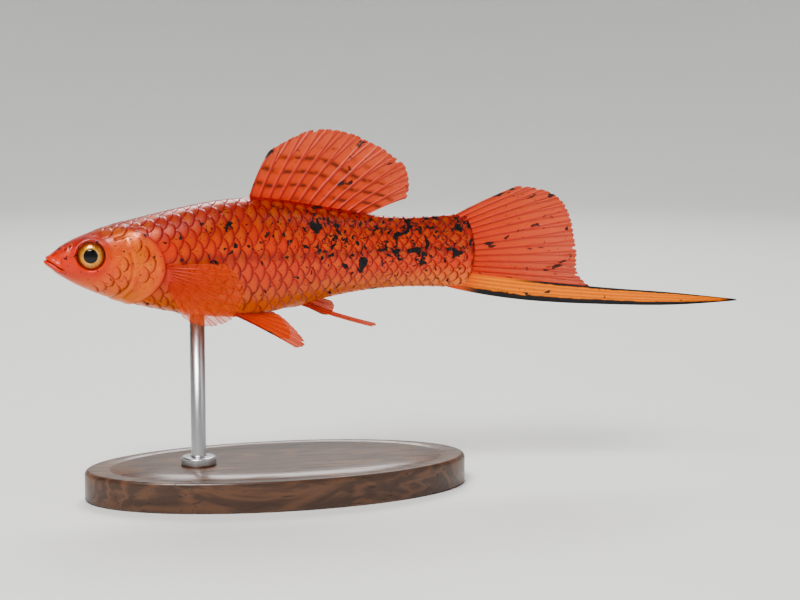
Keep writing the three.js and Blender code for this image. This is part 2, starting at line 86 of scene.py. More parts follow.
# Body outline: s, top, bottom, half width.
STATIONS = np.array([
    (0, 0.9, 0.9, 0),
    (2, 3.1, -1.5, 2.9),
    (5, 4.9, -3.7, 4.4),
    (10, 7.0, -6.3, 5.9),
    (16, 8.9, -8.6, 7.1),
    (25, 11.1, -11.1, 7.9),
    (35, 13.1, -13.1, 8.1),
    (47, 14.3, -13.9, 7.6),
    (59, 13.0, -12.1, 6.4),
    (75, 10.1, -9.2, 4.5),
    (90, 8.7, -8.5, 2.9),
    (TAIL_BASE, 9.3, -9.2, 1.0),
])


# Plain numbers and arrays.
def mix(a, b, t):
    return a + (b - a) * t


def smooth(x, low, high):
    t = np.clip((x - low) / (high - low), 0, 1)
    return t * t * (3 - 2 * t)


def bell(x, middle, width):
    return np.exp(-(((x - middle) / width) ** 2))


def unit(vectors):
    return vectors / np.maximum(np.linalg.norm(vectors, axis=-1, keepdims=True), 1e-9)


def spline(xs, ys):
    """A natural cubic spline through pairs of x and y, as a function on arrays."""
    xs, ys = np.asarray(xs, float), np.asarray(ys, float)
    count, steps = len(xs), np.diff(xs)
    matrix, slopes = np.eye(count), np.zeros(count)
    for i in range(1, count - 1):
        matrix[i, i - 1 : i + 2] = steps[i - 1], 2 * (steps[i - 1] + steps[i]), steps[i]
        slopes[i] = 6 * ((ys[i + 1] - ys[i]) / steps[i] - (ys[i] - ys[i - 1]) / steps[i - 1])
    bend = np.linalg.solve(matrix, slopes)

    def curve(x):
        i = np.clip(np.searchsorted(xs, x, side="left") - 1, 0, count - 2)
        h = steps[i]
        a = (xs[i + 1] - x) / h
        b = 1 - a
        bulge = ((a**3 - a) * bend[i] + (b**3 - b) * bend[i + 1]) * h * h / 6
        return a * ys[i] + b * ys[i + 1] + bulge

    return curve


def evenly(*values):
    return spline(np.linspace(0, 1, len(values)), values)


def profile(*pairs):
    """Straight lines through pairs of x and y, as a function on arrays."""
    xs, ys = zip(*pairs)
    return lambda x: np.interp(x, xs, ys)


# The body's plain surface.
def outline(column):
    curve = spline(np.sqrt(STATIONS[:, 0]), STATIONS[:, column])
    return lambda s: curve(np.sqrt(np.maximum(s, 0)))


top, bottom, half = outline(1), outline(2), outline(3)


def section(s, upper):
    """Height of the widest line, reach over or under it, and power of a section's curve."""
    widest = 0.9 - 0.7 * np.minimum(s / 100, 1)
    reach = np.where(upper, top(s) - widest, widest - bottom(s))
    power = np.where(upper, 2.05 + 0.7 * bell(s, 9, 9), 2.05 + 0.3 * bell(s, 12, 12))
    return widest, reach, power


def place(s, h, y=0.0):
    s, h, y = np.broadcast_arrays(np.asarray(s, float), h, y)
    return np.stack([s * PERCENT, y, h * PERCENT], axis=-1)


def at_angle(s, angle):
    """A point of the plain body, at an angle from the back over the left side to the belly."""
    up, out = np.cos(angle), np.sin(angle)
    widest, reach, power = section(s, up >= 0)
    y = -np.sign(out) * half(s) * np.abs(out) ** (2 / power) * PERCENT
    return place(s, widest + np.sign(up) * reach * np.abs(up) ** (2 / power), y)


def skin_half(s, h):
    """The plain body's half width at a place seen from the side."""
    s = np.asarray(s, float)
    widest, reach, power = section(s, h >= section(s, True)[0])
    share = np.minimum(np.abs((h - widest) / reach), 1)
    return half(s) * (1 - share**power) ** (1 / power) * PERCENT


def on_skin(s, h, side):
    return place(s, h, side * skin_half(s, h))


def skin_normal(s, h, side, step=0.4):
    forward = on_skin(s + step, h, side) - on_skin(s - step, h, side)
    upward = on_skin(s, h + step, side) - on_skin(s, h - step, side)
    return unit(side * np.cross(upward, forward))


# Equal shares of a section's girth: rows of this table are sections, from snout to tail.
GIRTH_ROWS, GIRTH_STEPS = 160, 240
girth_angles = np.linspace(0, np.pi, GIRTH_STEPS + 1)
girth_shares = np.linspace(0, 1, GIRTH_STEPS + 1)


def girth_row(share):
    s = np.full(GIRTH_STEPS + 1, TAIL_BASE * max(share, 0.02) ** 2)
    steps = np.linalg.norm(np.diff(at_angle(s, girth_angles), axis=0), axis=1)
    length = np.concatenate([[0], np.cumsum(steps)])
    return np.interp(girth_shares, length / length[-1], girth_angles)


ANGLES = np.array([girth_row(share) for share in np.linspace(0, 1, GIRTH_ROWS + 1)])


def bare(s, turn):
    """The plain body by equal girth: turn 0 is the back, 1 the belly by the left side, 2 the back."""
    turn = np.mod(turn, 2)
    share = np.where(turn > 1, 2 - turn, turn) * GIRTH_STEPS
    row = np.sqrt(np.clip(s / TAIL_BASE, 0, 1)) * GIRTH_ROWS
    i = np.minimum(row.astype(int), GIRTH_ROWS - 1)
    j = np.minimum(share.astype(int), GIRTH_STEPS - 1)
    a, b = row - i, share - j
    angle = mix(mix(ANGLES[i, j], ANGLES[i, j + 1], b), mix(ANGLES[i + 1, j], ANGLES[i + 1, j + 1], b), a)
    return at_angle(s, np.where(turn > 1, 2 * np.pi - angle, angle))


def outward(s, turn):
    step, twist = np.maximum(0.02 * s, 0.004), 0.004
    ahead = bare(s + step, turn) - bare(s - step, turn)
    round_it = bare(s, turn + twist) - bare(s, turn - twist)
    return unit(np.cross(round_it, ahead))


def carried(points):
    """Points carried sideways by the swimming wave, and put in their place over the stand."""
    s = np.maximum(points[..., 0] / PERCENT, 0)
    sway = WAVE_HEAD + WAVE_TAIL * (s / SWORD_TIP) ** 1.5
    moved = points.copy()
    moved[..., 1] += sway * np.sin(2 * np.pi * (points[..., 0] / PERCENT - WAVE_START) / WAVE_LENGTH)
    return moved + ORIGIN


# Features of the skin, placed as in the solids. Radii, rises and depths are in millimetres, and
# angles round an ellipse in degrees.
GILL = {"s": 14.5, "h": -0.6, "along": 11.8, "high": 9.6, "above": (66, 52), "below": (-100, -90)}
CHEEK = {"s": 12.4, "h": -0.6, "along": 6.6, "high": 7.4, "above": (46, 22), "below": (-92, -78)}
COVER_TOP = ((15.5, 5.93), (20.75, 7.6))
EYE = {"s": 9.7, "h": 2.2, "radius": 2.25, "thick": 1.55, "sunk": 1.2}
ORBIT_RADIUS = 2.1
MOUTH = {"corner": 3.4, "tip": 1.2, "slope": -0.6, "jaw": 0.2}
NOSTRILS = ((4.2, 3.65, 0.26), (5.3, 4.3, 0.2))
COAT_DEPTH = 0.1
DRAW_WIDTH = 0.6
CHEEK_RISE, CREASE_DEPTH, CREASE_WIDTH, CREASE_END = 0.07, 0.16, 0.16, (19.5, 17)
KEEL_RISE, ARM_RISE, HIP_RISE, ROD_RISE = 0.3, 0.4, 0.28, 0.34
TAIL_END = {"from": 95, "back": 2.6, "high": 9.6, "thin": 0.3}
# Cross-sections of these features: distance from the feature's line, and height, in millimetres.
flap_height = profile((-1.7, 0.04), (-0.5, 0.17), (-0.14, 0.26), (-0.05, 0.2), (0.05, -0.12), (0.14, -0.34),
                      (0.45, -0.2), (1.0, 0))
flap_overhang = profile((-1.7, 0), (-0.5, 0.02), (-0.14, 0.18), (-0.05, 0.27), (0.05, 0.18), (0.14, 0.02),
                        (0.45, 0))
orbit_height = profile((-0.6, -1.3), (-0.2, -1.2), (-0.04, -0.3), (0.04, 0.08), (0.15, 0.19), (0.4, 0.1),
                       (0.9, 0))
upper_lip = profile((0, -0.24), (0.04, -0.02), (0.1, 0.2), (0.22, 0.3), (0.4, 0.26), (0.62, 0.12),
                    (0.95, 0))
lower_lip = profile((0, -0.24), (0.04, -0.02), (0.1, 0.24), (0.24, 0.36), (0.46, 0.32), (0.75, 0.14),
                    (1.2, 0))
eye_normal = {side: skin_normal(EYE["s"], EYE["h"], side) for _, side in SIDES}
eye_middle = {side: on_skin(EYE["s"], EYE["h"], side) - EYE["sunk"] * eye_normal[side] for _, side in SIDES}


def from_ellipse(ellipse, s, h):
    """Distance outside an ellipse seen from the side in millimetres, its direction, and the angle."""
    a, b = (s - ellipse["s"]) / ellipse["along"], (h - ellipse["h"]) / ellipse["high"]
    size = np.maximum(np.hypot(a, b), 1e-6)
    slope = np.stack([a / ellipse["along"], np.zeros_like(a), b / ellipse["high"]], -1) / size[..., None]
    steep = np.linalg.norm(slope, axis=-1)
    return (size - 1) / steep * PERCENT, slope / steep[..., None], np.degrees(np.arctan2(b, a))


def drawn_to(distance, width, power):
    """Distances within the width, drawn nearer to the line that they are measured from."""
    share = np.minimum(np.abs(distance) / width, 1)
    return np.where(share < 1, np.sign(distance) * width * share**power, distance)


def gill_flap(p, s, h):
    """The free rear edge of the gill cover, which stands over a groove, with painted shade in the groove."""
    distance, away, angle = from_ellipse(GILL, s, h)
    mask = smooth(angle, *GILL["above"]) * smooth(angle, *GILL["below"])
    near = drawn_to(distance, DRAW_WIDTH, 1.8)
    shift = away * (mask * (flap_overhang(near) + near - distance))[:, None]
    return mask * flap_height(near), shift, mask * bell(near, 0.12, 0.16)


def cheek_lines(p, s, h):
    """The preopercle's curved edge, and the line over the gill cover, with painted shade along both."""
    distance, _, angle = from_ellipse(CHEEK, s, h)
    mask = smooth(angle, *CHEEK["above"]) * smooth(angle, *CHEEK["below"])
    edge = CHEEK_RISE * smooth(distance, -1.0, -0.1) - CREASE_DEPTH * bell(distance, 0.1, 0.22)
    lift = mask * edge * (distance < 1)
    (s0, h0), (s1, h1) = COVER_TOP
    along = np.clip(((s - s0) * (s1 - s0) + (h - h0) * (h1 - h0)) / ((s1 - s0) ** 2 + (h1 - h0) ** 2), 0, 1)
    gap = np.hypot(s - mix(s0, s1, along), h - mix(h0, h1, along)) * PERCENT
    crease = bell(gap, 0, CREASE_WIDTH) * smooth(s, *CREASE_END)
    groove_shade = 0.5 * mask * bell(distance, 0.1, 0.12) + 0.5 * crease
    return lift - CREASE_DEPTH * crease, np.zeros_like(p), groove_shade


def orbits(p, s, h):
    """The sockets of the eyes with their raised rims, and painted shade inside the sockets."""
    lift, shift, groove_shade = np.zeros(len(p)), np.zeros_like(p), np.zeros(len(p))
    for _, side in SIDES:
        out = p - eye_middle[side]
        flat = out - (out @ eye_normal[side])[:, None] * eye_normal[side]
        radius = np.linalg.norm(flat, axis=1)
        here = (p[:, 1] * side > 0) & (radius < 2 * ORBIT_RADIUS)
        past = drawn_to(radius - ORBIT_RADIUS, DRAW_WIDTH, 2.0)
        lift += np.where(here, orbit_height(past), 0)
        shift += np.where(here, past - radius + ORBIT_RADIUS, 0)[:, None] * unit(flat)
        groove_shade += np.where(here, smooth(past, 0.02, -0.12), 0)
    return lift, shift, groove_shade


def mouth(p, s, h):
    """The lips and the line between them, with the lower jaw a little forward, and painted shade along the
    line between the lips.
    """
    line = (h - MOUTH["tip"] - MOUTH["slope"] * s) * PERCENT / math.hypot(1, MOUTH["slope"])
    mask = smooth(s, MOUTH["corner"] + 1.0, MOUTH["corner"] - 0.5)
    upper = upper_lip(line) * mix(0.55, 1, smooth(s, 0, 1.2))
    lift = np.where(line > 0, upper, lower_lip(-line)) * mask
    jaw = smooth(line, 0.1, -0.3) * smooth(line, -1.9, -0.5) * smooth(s, 2.4, 0.4)
    shift = np.zeros_like(p)
    shift[:, 0] = -MOUTH["jaw"] * mask * jaw
    return lift, shift, mask * bell(line, 0, 0.06)


# The nostrils: small pits with raised rims, and painted shade in the pits.
def nostrils(p, s, h):
    lift, groove_shade = np.zeros(len(p)), np.zeros(len(p))
    for _, side in SIDES:
        for place_s, place_h, radius in NOSTRILS:
            away = np.linalg.norm(p - on_skin(place_s, place_h, side), axis=1)
            lift += 0.1 * bell(away, radius * 1.4, radius * 0.5) - 0.32 * bell(away, 0, radius * 0.75)
            groove_shade += bell(away, 0, radius * 0.7)
    return lift, np.zeros_like(p), groove_shade


def tail_end(s, h, y):
    """How far the tail's end is drawn back and inwards in millimetres, so that it is round and thin."""
    end = smooth(s, TAIL_END["from"], TAIL_BASE)
    return TAIL_END["back"] * PERCENT * end * (1 - (h / TAIL_END["high"]) ** 2), -TAIL_END["thin"] * y * end


def fin_bases(p, s, h):
    """Flesh at the roots of the fins, and the tail's end drawn thin and round."""
    y = p[:, 1]
    keel = KEEL_RISE * bell(y, 0, 0.75) * (h > 0) * smooth(s, 45.5, 48.5) * smooth(s, 78, 74.5)
    arm = ARM_RISE * bell(s, 26.3, 1.5) * bell(h, -2.5, 2.5)
    hip = HIP_RISE * bell(s, 44.6, 2.2) * bell(np.abs(y), 1.6, 1.0) * (h < -8)
    rod_root = ROD_RISE * bell(s, 60.5, 3.0) * bell(y, 0, 0.9) * (h < -5)
    shift = np.zeros_like(p)
    shift[:, 0], shift[:, 1] = tail_end(s, h, y)
    return keel + arm + hip + rod_root, shift, np.zeros(len(p))


def coat_cover(s, h):
    """Where the trunk is covered by scales, and the skin lies lower by the coat's depth."""
    distance, _, _ = from_ellipse(GILL, s, h)
    return smooth(distance, 0.2, 0.8) * smooth(s, 102.5, 99)


def dressed(s, turn):
    """The finished skin's points, the painted shade in the grooves at each, and its height over the plain
    body.
    """
    p, normal = bare(s, turn), outward(s, turn)
    h = p[:, 2] / PERCENT
    lift, shift, groove_shade = -COAT_DEPTH * coat_cover(s, h), np.zeros_like(p), np.zeros(len(p))
    for feature in (gill_flap, cheek_lines, orbits, mouth, nostrils, fin_bases):
        more_lift, more_shift, more_groove_shade = feature(p, s, h)
        lift, shift, groove_shade = lift + more_lift, shift + more_shift, groove_shade + more_groove_shade
    shift[:, [0, 2]] -= (shift * normal).sum(axis=1)[:, None] * normal[:, [0, 2]]
    return carried(p + normal * lift[:, None] + shift), np.clip(groove_shade, 0, 1), lift


# Meshes.
def unwrap(mesh, corner_uv):
    """The map named OFBake, with one pair of numbers for each corner."""
    layer = mesh.uv_layers.new(name="OFBake")
    layer.data.foreach_set("uv", np.asarray(corner_uv, np.float32).ravel())


def make_mesh(name, points, faces, material, attributes=None, bake_uv=None):
    """An object at the origin from points in millimetres, shaded smooth."""
    mesh = bpy.data.meshes.new(name)
    mesh.from_pydata((np.asarray(points) * MM).tolist(), [], [list(map(int, face)) for face in faces])
    for key, values in (attributes or {}).items():
        flat = np.asarray(values, np.float32)
        kind, field = ("FLOAT", "value") if flat.ndim == 1 else ("FLOAT_VECTOR", "vector")
        mesh.attributes.new(key, kind, "POINT").data.foreach_set(field, flat.ravel())
    if bake_uv is not None:
        unwrap(mesh, bake_uv)
    mesh.shade_smooth()
    if material:
        mesh.materials.append(material)
    made = bpy.data.objects.new(name, mesh)
    bpy.context.scene.collection.objects.link(made)
    return made


def settle(piece, slot, *nodes):
    """A finished piece rides on the only body and takes the place of its solids."""
    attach(piece, "root")
    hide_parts(*nodes)


def sheet_faces(rows, columns):
    """Quads of an open grid whose points are stored row by row."""
    corner = np.arange(rows * (columns + 1)).reshape(rows, columns + 1)[:, :-1].ravel()
    step = columns + 1
    return np.stack([corner, corner + step, corner + step + 1, corner + 1], axis=1)


def grid_rim(rows, columns):
    """The numbers of a grid's points, and those along its rim in order."""
    grid = np.arange((rows + 1) * (columns + 1)).reshape(rows + 1, columns + 1)
    return grid, np.concatenate([grid[:-1, 0], grid[-1, :-1], grid[:0:-1, -1], grid[0, :0:-1]])


def closed_sheet(rows, columns):
    """Faces of two grids, one on each side of a sheet, and of the rim that joins them."""
    front, (grid, rim) = sheet_faces(rows, columns), grid_rim(rows, columns)
    count, after = grid.size, np.roll(rim, -1)
    edge = np.stack([after, rim, rim + count, after + count], axis=1)
    return np.concatenate([front, front[:, ::-1] + count, edge])


def around(count):
    """Angles at equal steps of a full turn."""
    return np.linspace(0, 2 * np.pi, count, endpoint=False)


def bands(rings, count, first=0):
    """Quads between rings of points that are stored one after another."""
    starts = [first + ring * count for ring in range(rings - 1)]
    return [(a + k, a + (k + 1) % count, a + count + (k + 1) % count, a + count + k)
            for a in starts for k in range(count)]


def capped_bands(rings, count):
    """Faces of rings with an end point at each side, stored as the first and the last point."""
    start, last = 1 + (rings - 1) * count, 1 + rings * count
    faces = bands(rings, count, 1)
    for k in range(count):
        after = (k + 1) % count
        faces += [(0, 1 + after, 1 + k), (start + k, start + after, last)]
    return faces


def turned_over(faces):
    """The same faces seen from behind, each from its own first corner."""
    return [(face[0], *face[:0:-1]) for face in faces]


def quarter(count):
    """Cosine and sine at equal steps of a quarter turn."""
    return [(math.cos(t), math.sin(t)) for t in np.linspace(0, math.pi / 2, count + 1)]


def lathe(name, contour, segments, material, stretch=(1, 1), middle=(0, 0)):
    """A turned shape from (radius, height) pairs that start and end on the axis."""
    turns = around(segments)
    rings = [(r * math.cos(t), r * math.sin(t), z) for r, z in contour[1:-1] for t in turns]
    points = np.array([(0, 0, contour[0][1])] + rings + [(0, 0, contour[-1][1])])
    points[:, :2] = points[:, :2] * stretch + middle
    return make_mesh(name, points, capped_bands(len(contour) - 2, segments), material)


def plain_copy(made):
    """The evaluated object as a plain mesh, with its modifiers removed."""
    graph = bpy.context.evaluated_depsgraph_get()
    mesh = bpy.data.meshes.new_from_object(made.evaluated_get(graph))
    made.modifiers.clear()
    old, made.data = made.data, mesh
    bpy.data.meshes.remove(old)


# Node trees.
class Term:
    """A number that varies over a surface, so that shader maths reads as plain Python."""

    def __init__(self, tree, socket):
        self.tree, self.socket = tree, socket

    def math(self, operation, *others):
        return self.tree.value("ShaderNodeMath", {"operation": operation}, self, *others)

    def __add__(self, other):
        return self.math("ADD", other)

    def __sub__(self, other):
        return self.math("SUBTRACT", other)

    def __mul__(self, other):
        return self.math("MULTIPLY", other)

    def __truediv__(self, other):
        return self.math("DIVIDE", other)

    def __pow__(self, other):
        return self.math("POWER", other)

    def __rsub__(self, other):
        return self.tree.value("ShaderNodeMath", {"operation": "SUBTRACT"}, other, self)

    __radd__ = __add__
    __rmul__ = __mul__

    def __abs__(self):
        return self.math("ABSOLUTE")

    def smooth(self, low, high):
        return self.tree.value("ShaderNodeMapRange", {"interpolation_type": "SMOOTHSTEP"}, self, low, high)

    def bell(self, middle, width):
        far = (self - middle) / width
        return (far * far * -1).math("EXPONENT")


class Tree:
    """A node tree under construction: every node comes from node()."""

    def __init__(self, tree):
        self.tree = tree

    def feed(self, socket, value):
        if isinstance(value, Term):
            value = value.socket
        if isinstance(value, bpy.types.NodeSocket):
            self.tree.links.new(value, socket)
        elif value is not None:
            socket.default_value = value

    def node(self, kind, settings=None, *places, **named):
        made = self.tree.nodes.new(kind)
        for key, value in (settings or {}).items():
            setattr(made, key, value)
        for index, value in enumerate(places):
            self.feed(made.inputs[index], value)
        for name, value in named.items():
            self.feed(made.inputs[name.replace("_", " ")], value)
        return made

    def value(self, kind, settings=None, *places, **named):
        return Term(self, self.node(kind, settings, *places, **named).outputs[0])

    def feed_open(self, made, name, value):
        """Feeds the socket of this name that the node's data type leaves open."""
        self.feed(next(i for i in made.inputs if i.name == name and i.enabled), value)

    def random(self, low, high, seed):
        """A number between low and high, drawn for each instance."""
        made = self.node("FunctionNodeRandomValue", {"data_type": "FLOAT"})
        for name, value in (("Min", low), ("Max", high), ("Seed", seed)):
            self.feed_open(made, name, value)
        return Term(self, next(o for o in made.outputs if o.enabled))


class Paint(Tree):
    """A material with one Principled shader."""

    COLOUR_A, COLOUR_B, COLOUR_OUT = 6, 7, 2

    def __init__(self, name):
        self.material = bpy.data.materials.new(name)
        self.material.use_nodes = True
        super().__init__(self.material.node_tree)
        self.tree.nodes.clear()
        self.shader = self.node("ShaderNodeBsdfPrincipled")
        self.node("ShaderNodeOutputMaterial", None, self.shader.outputs[0])
        self.here = self.node("ShaderNodeTexCoord").outputs["Object"]

    def mix(self, factor, a, b):
        """A colour between a and b."""
        made = self.node("ShaderNodeMix", {"data_type": "RGBA"}, factor)
        self.feed(made.inputs[self.COLOUR_A], a)
        self.feed(made.inputs[self.COLOUR_B], b)
        return made.outputs[self.COLOUR_OUT]

    def attribute(self, name):
        return Term(self, self.node("ShaderNodeAttribute", {"attribute_name": name}).outputs["Fac"])

    def parts(self, vector):
        made = self.node("ShaderNodeSeparateXYZ", None, vector)
        return [Term(self, socket) for socket in made.outputs]

    def stretched(self, factors):
        return self.node("ShaderNodeVectorMath", {"operation": "MULTIPLY"}, self.here, factors).outputs[0]

    def noise(self, per_mm, detail=2.0, distortion=0.0, stretch=(1, 1, 1), at=None):
        """Noise whose features are about one part in per_mm of a millimetre long."""
        vector = at or self.stretched([factor / MM for factor in stretch])
        return self.value("ShaderNodeTexNoise", None, Vector=vector, Scale=per_mm, Detail=detail,
                          Distortion=distortion)

    def bump(self, height, distance_mm, strength=1.0):
        made = self.node("ShaderNodeBump", None, Strength=strength, Distance=distance_mm * MM, Height=height)
        return made.outputs[0]

    def finish(self, **sockets):
        for name, value in sockets.items():
            self.feed(self.shader.inputs[name.replace("_", " ")], value)
        return self.material


# Settings.
def colour(name, text, *value):
    return bpy.props.FloatVectorProperty(
        name=name, description=text, default=value, subtype="COLOR", size=3, min=0, max=1)


def fraction(name, text, value):
    return bpy.props.FloatProperty(
        name=name, description=text, default=value, min=0, max=1, subtype="FACTOR")


def group_of(kind, name, text):
    return bpy.props.PointerProperty(type=kind, name=name, description=text)


def solid(value):
    return (*value, 1.0)


class SwordtailBody(bpy.types.PropertyGroup):
    """Colours of the skin and scales, and the make of the scale coat."""

    back: colour("Back", "Colour along the back", 0.24, 0.010, 0.005)
    flank: colour("Flank", "Colour of the sides", 0.62, 0.036, 0.006)
    belly: colour("Belly", "Colour of the belly and throat", 0.78, 0.17, 0.030)
    stripe: colour("Stripe", "Colour of the stripe along the side", 0.25, 0.005, 0.005)
    sheen: colour("Sheen", "Golden shine of the gill covers and scale centres", 0.85, 0.25, 0.035)
    fleck: colour("Flecks", "Colour of the small dark flecks", 0.006, 0.004, 0.005)
    flecks: fraction("Fleck Amount", "How much of the rear body the flecks cover", 0.5)
    rows: bpy.props.IntProperty(
        name="Scale Rows", description="Rows of scales on one side", default=12, min=6, max=20)
    rise: bpy.props.FloatProperty(
        name="Scale Rise", description="Rise of a scale from its root to its rear edge, in millimetres",
        default=0.16, min=0.02, max=0.5)
    vary: fraction("Size Variation", "How much the sizes of scales differ", 0.05)
    seed: bpy.props.IntProperty(name="Seed", description="Number that settles every random draw", default=7)


class SwordtailFins(bpy.types.PropertyGroup):
    """Colours of the fins and the sword."""

    membrane: colour("Membrane", "Colour between the rays", 0.60, 0.032, 0.004)
    ray: colour("Rays", "Colour of the rays", 0.38, 0.010, 0.004)
    sword: colour("Sword", "Colour of the middle of the sword", 0.84, 0.22, 0.010)
    edge: colour("Sword Edge", "Colour of the sword's dark edges", 0.006, 0.005, 0.006)
    density: fraction("Membrane Density", "How solid a membrane looks", 0.93)


class SwordtailEyes(bpy.types.PropertyGroup):
    """Colours and proportions of the eyes."""

    iris: colour("Iris", "Colour of the ring round the pupil", 0.66, 0.27, 0.03)
    rim: colour("Iris Rim", "Colour of the iris at its outer edge", 0.16, 0.012, 0.005)
    pupil: fraction("Pupil", "Radius of the pupil as a share of the eye's", 0.46)


class SwordtailStand(bpy.types.PropertyGroup):
    """Finish of the stand."""

    wood: colour("Wood", "Colour of the walnut", 0.135, 0.058, 0.026)
    grain: colour("Grain", "Colour of the walnut's dark grain", 0.035, 0.014, 0.007)
    steel: colour("Steel", "Colour of the rod", 0.60, 0.60, 0.62)


class SwordtailStage(bpy.types.PropertyGroup):
    """Camera, lights and floor."""

    azimuth: bpy.props.FloatProperty(
        name="Azimuth", description="Turn of the camera round the model", default=math.radians(-17),
        subtype="ANGLE")
    elevation: bpy.props.FloatProperty(
        name="Elevation", description="Height of the camera over the horizon", default=math.radians(7),
        subtype="ANGLE")
    framed: bpy.props.FloatProperty(
        name="Framed Width", description="Width of the view at the model", default=0.121, min=0.01,
        unit="LENGTH")
    lens: bpy.props.FloatProperty(
        name="Lens", description="Focal length of the camera", default=90, unit="CAMERA", min=10)
    floor: colour("Floor", "Colour of the floor and backdrop", 0.72, 0.72, 0.70)


class SwordtailSettings(bpy.types.PropertyGroup):
    """All settings of the model."""

    body: group_of(SwordtailBody, "Body", "Skin and scales")
    fins: group_of(SwordtailFins, "Fins", "Fins and sword")
    eyes: group_of(SwordtailEyes, "Eyes", "Both eyes")
    stand: group_of(SwordtailStand, "Stand", "Display stand")
    stage: group_of(SwordtailStage, "Stage", "Camera, lights and floor")


# Finishes of the fish.
WET_FLESH = {"IOR": 1.42, "Subsurface_Radius": (0.8 * MM, 0.25 * MM, 0.12 * MM), "Subsurface_Scale": 1.0}
# Colour of the painted shade in the skin's grooves.
GROOVE_SHADE_TONE = (0.05, 0.006, 0.004, 1)
PUPIL_TONE, PUPIL_EDGE, EYE_EDGE = (0.004, 0.004, 0.005, 1), (0.90, 0.55, 0.12, 1), (0.02, 0.006, 0.005, 1)


def fish_place(paint):
    """s, h and the height as a share of the body's local depth."""
    x, _, z = paint.parts(paint.here)
    s = (x - ORIGIN[0] * MM) / (PERCENT * MM)
    h = (z - ORIGIN[2] * MM) / (PERCENT * MM)
    half_depth = s.bell(45, 24) * 5.6 + 8.6
    return s, h, h / half_depth


def fleck_mask(paint, amount, at=None):
    """Irregular dark flecks in three sizes; amount varies from none at 0 to dense at 1."""
    limit = 0.76 - amount * 0.175
    large = paint.noise(0.44, 4, 0.7, (0.8, 1, 1), at).smooth(limit - 0.035, limit - 0.01)
    small = paint.noise(1.15, 3, 0.6, at=at).smooth(limit - 0.025, limit + 0.015)
    dust = paint.noise(2.8, 2, 0.3, at=at).smooth(limit - 0.02, limit + 0.04) * 0.75
    return large.math("MAXIMUM", small).math("MAXIMUM", dust)


def fish_colours(paint, look):
    """The markings that skin and scales share: a colour, its golden shine and its flecks."""
    s, h, height = fish_place(paint)
    patchy = paint.noise(0.3, 2)
    crown = height.smooth(0.25, 0.62) * s.smooth(24, 8) * 0.75
    back = (height + patchy * 0.5 - 0.25).smooth(0.05, 0.95).math("MAXIMUM", crown)
    belly = (height + patchy * 0.3 - 0.15).smooth(-0.3, -0.98)
    throat = h.smooth(-1.5, -6) * s.smooth(22, 9)
    tone = paint.mix(back, solid(look.flank), solid(look.back))
    tone = paint.mix(belly.math("MAXIMUM", throat * 0.8), tone, solid(look.belly))
    stripe = (h + patchy * 1.6).bell(1.5, 1.3) * s.smooth(22, 32)
    tone = paint.mix(stripe * 0.7, tone, solid(look.stripe))
    reach = ((s - GILL["s"]) / GILL["along"]) ** 2 + (abs(h - GILL["h"]) / GILL["high"]) ** 2
    cover = reach.smooth(1.05, 0.8) * s.smooth(10, 19)
    shine = cover * (0.4 + 0.5 * paint.noise(0.9, 3).smooth(0.35, 0.7))
    tone = paint.mix(shine * 0.6, tone, solid(look.sheen))
    grains = paint.noise(5.5, 2).smooth(0.5, 0.7) * (0.2 + 0.3 * height.smooth(-0.2, 0.8))
    tone = paint.mix(grains, tone, solid(look.stripe))
    rear = s.smooth(18, 96)
    amount = 0.25 + 1.0 * look.flecks * rear + 0.5 * look.flecks
    return tone, shine, fleck_mask(paint, amount * (0.55 + 0.45 * height.smooth(-0.8, 0.5)))


def skin_paint(look):
    paint = Paint("fish skin")
    tone, shine, flecks = fish_colours(paint, look)
    groove_shade = paint.attribute("groove_shade")
    tone = paint.mix(flecks, tone, solid(look.fleck))
    # Painted shade in the grooves: mouth line, gill gap, creases, eye sockets and nostrils.
    tone = paint.mix(groove_shade * 0.85, tone, GROOVE_SHADE_TONE)
    pores = paint.noise(4.5, 3)
    return paint.finish(
        Base_Color=tone, Roughness=0.34 + 0.16 * pores + 0.2 * groove_shade, Metallic=shine * 0.45,
        Normal=paint.bump(pores, 0.03, 0.5), Coat_Weight=0.28 - 0.2 * flecks, Coat_Roughness=0.14,
        Subsurface_Weight=0.06, **WET_FLESH)


def scale_paint(look):
    paint = Paint("scale coat")
    tone, shine, flecks = fish_colours(paint, look)
    tile = paint.node("ShaderNodeAttribute", {"attribute_name": "tile"}).outputs["Vector"]
    along, across, _ = paint.parts(tile)
    tint = paint.attribute("tint")
    rim = along.smooth(0.80, 0.97)
    middle = along.bell(0.62, 0.22) * (1 - across * across)
    glint = middle * (0.2 + 0.6 * tint)
    tone = paint.mix(glint * 0.34, tone, solid(look.sheen))
    tone = paint.mix(rim * (0.45 + 0.35 * tint), tone, solid(look.stripe))
    tone = paint.mix(flecks, tone, solid(look.fleck))
    rings = (along * 80).math("SINE") * 0.5 + paint.noise(5, 2)
    return paint.finish(
        Base_Color=tone, Roughness=0.30 + 0.14 * rim + 0.1 * paint.noise(1.1, 2),
        Metallic=(shine * 0.4 + glint * 0.35).math("MINIMUM", 0.6), Normal=paint.bump(rings, 0.01, 0.28),
        Coat_Weight=0.32 - 0.24 * flecks, Coat_Roughness=0.12, Subsurface_Weight=0.05, **WET_FLESH)


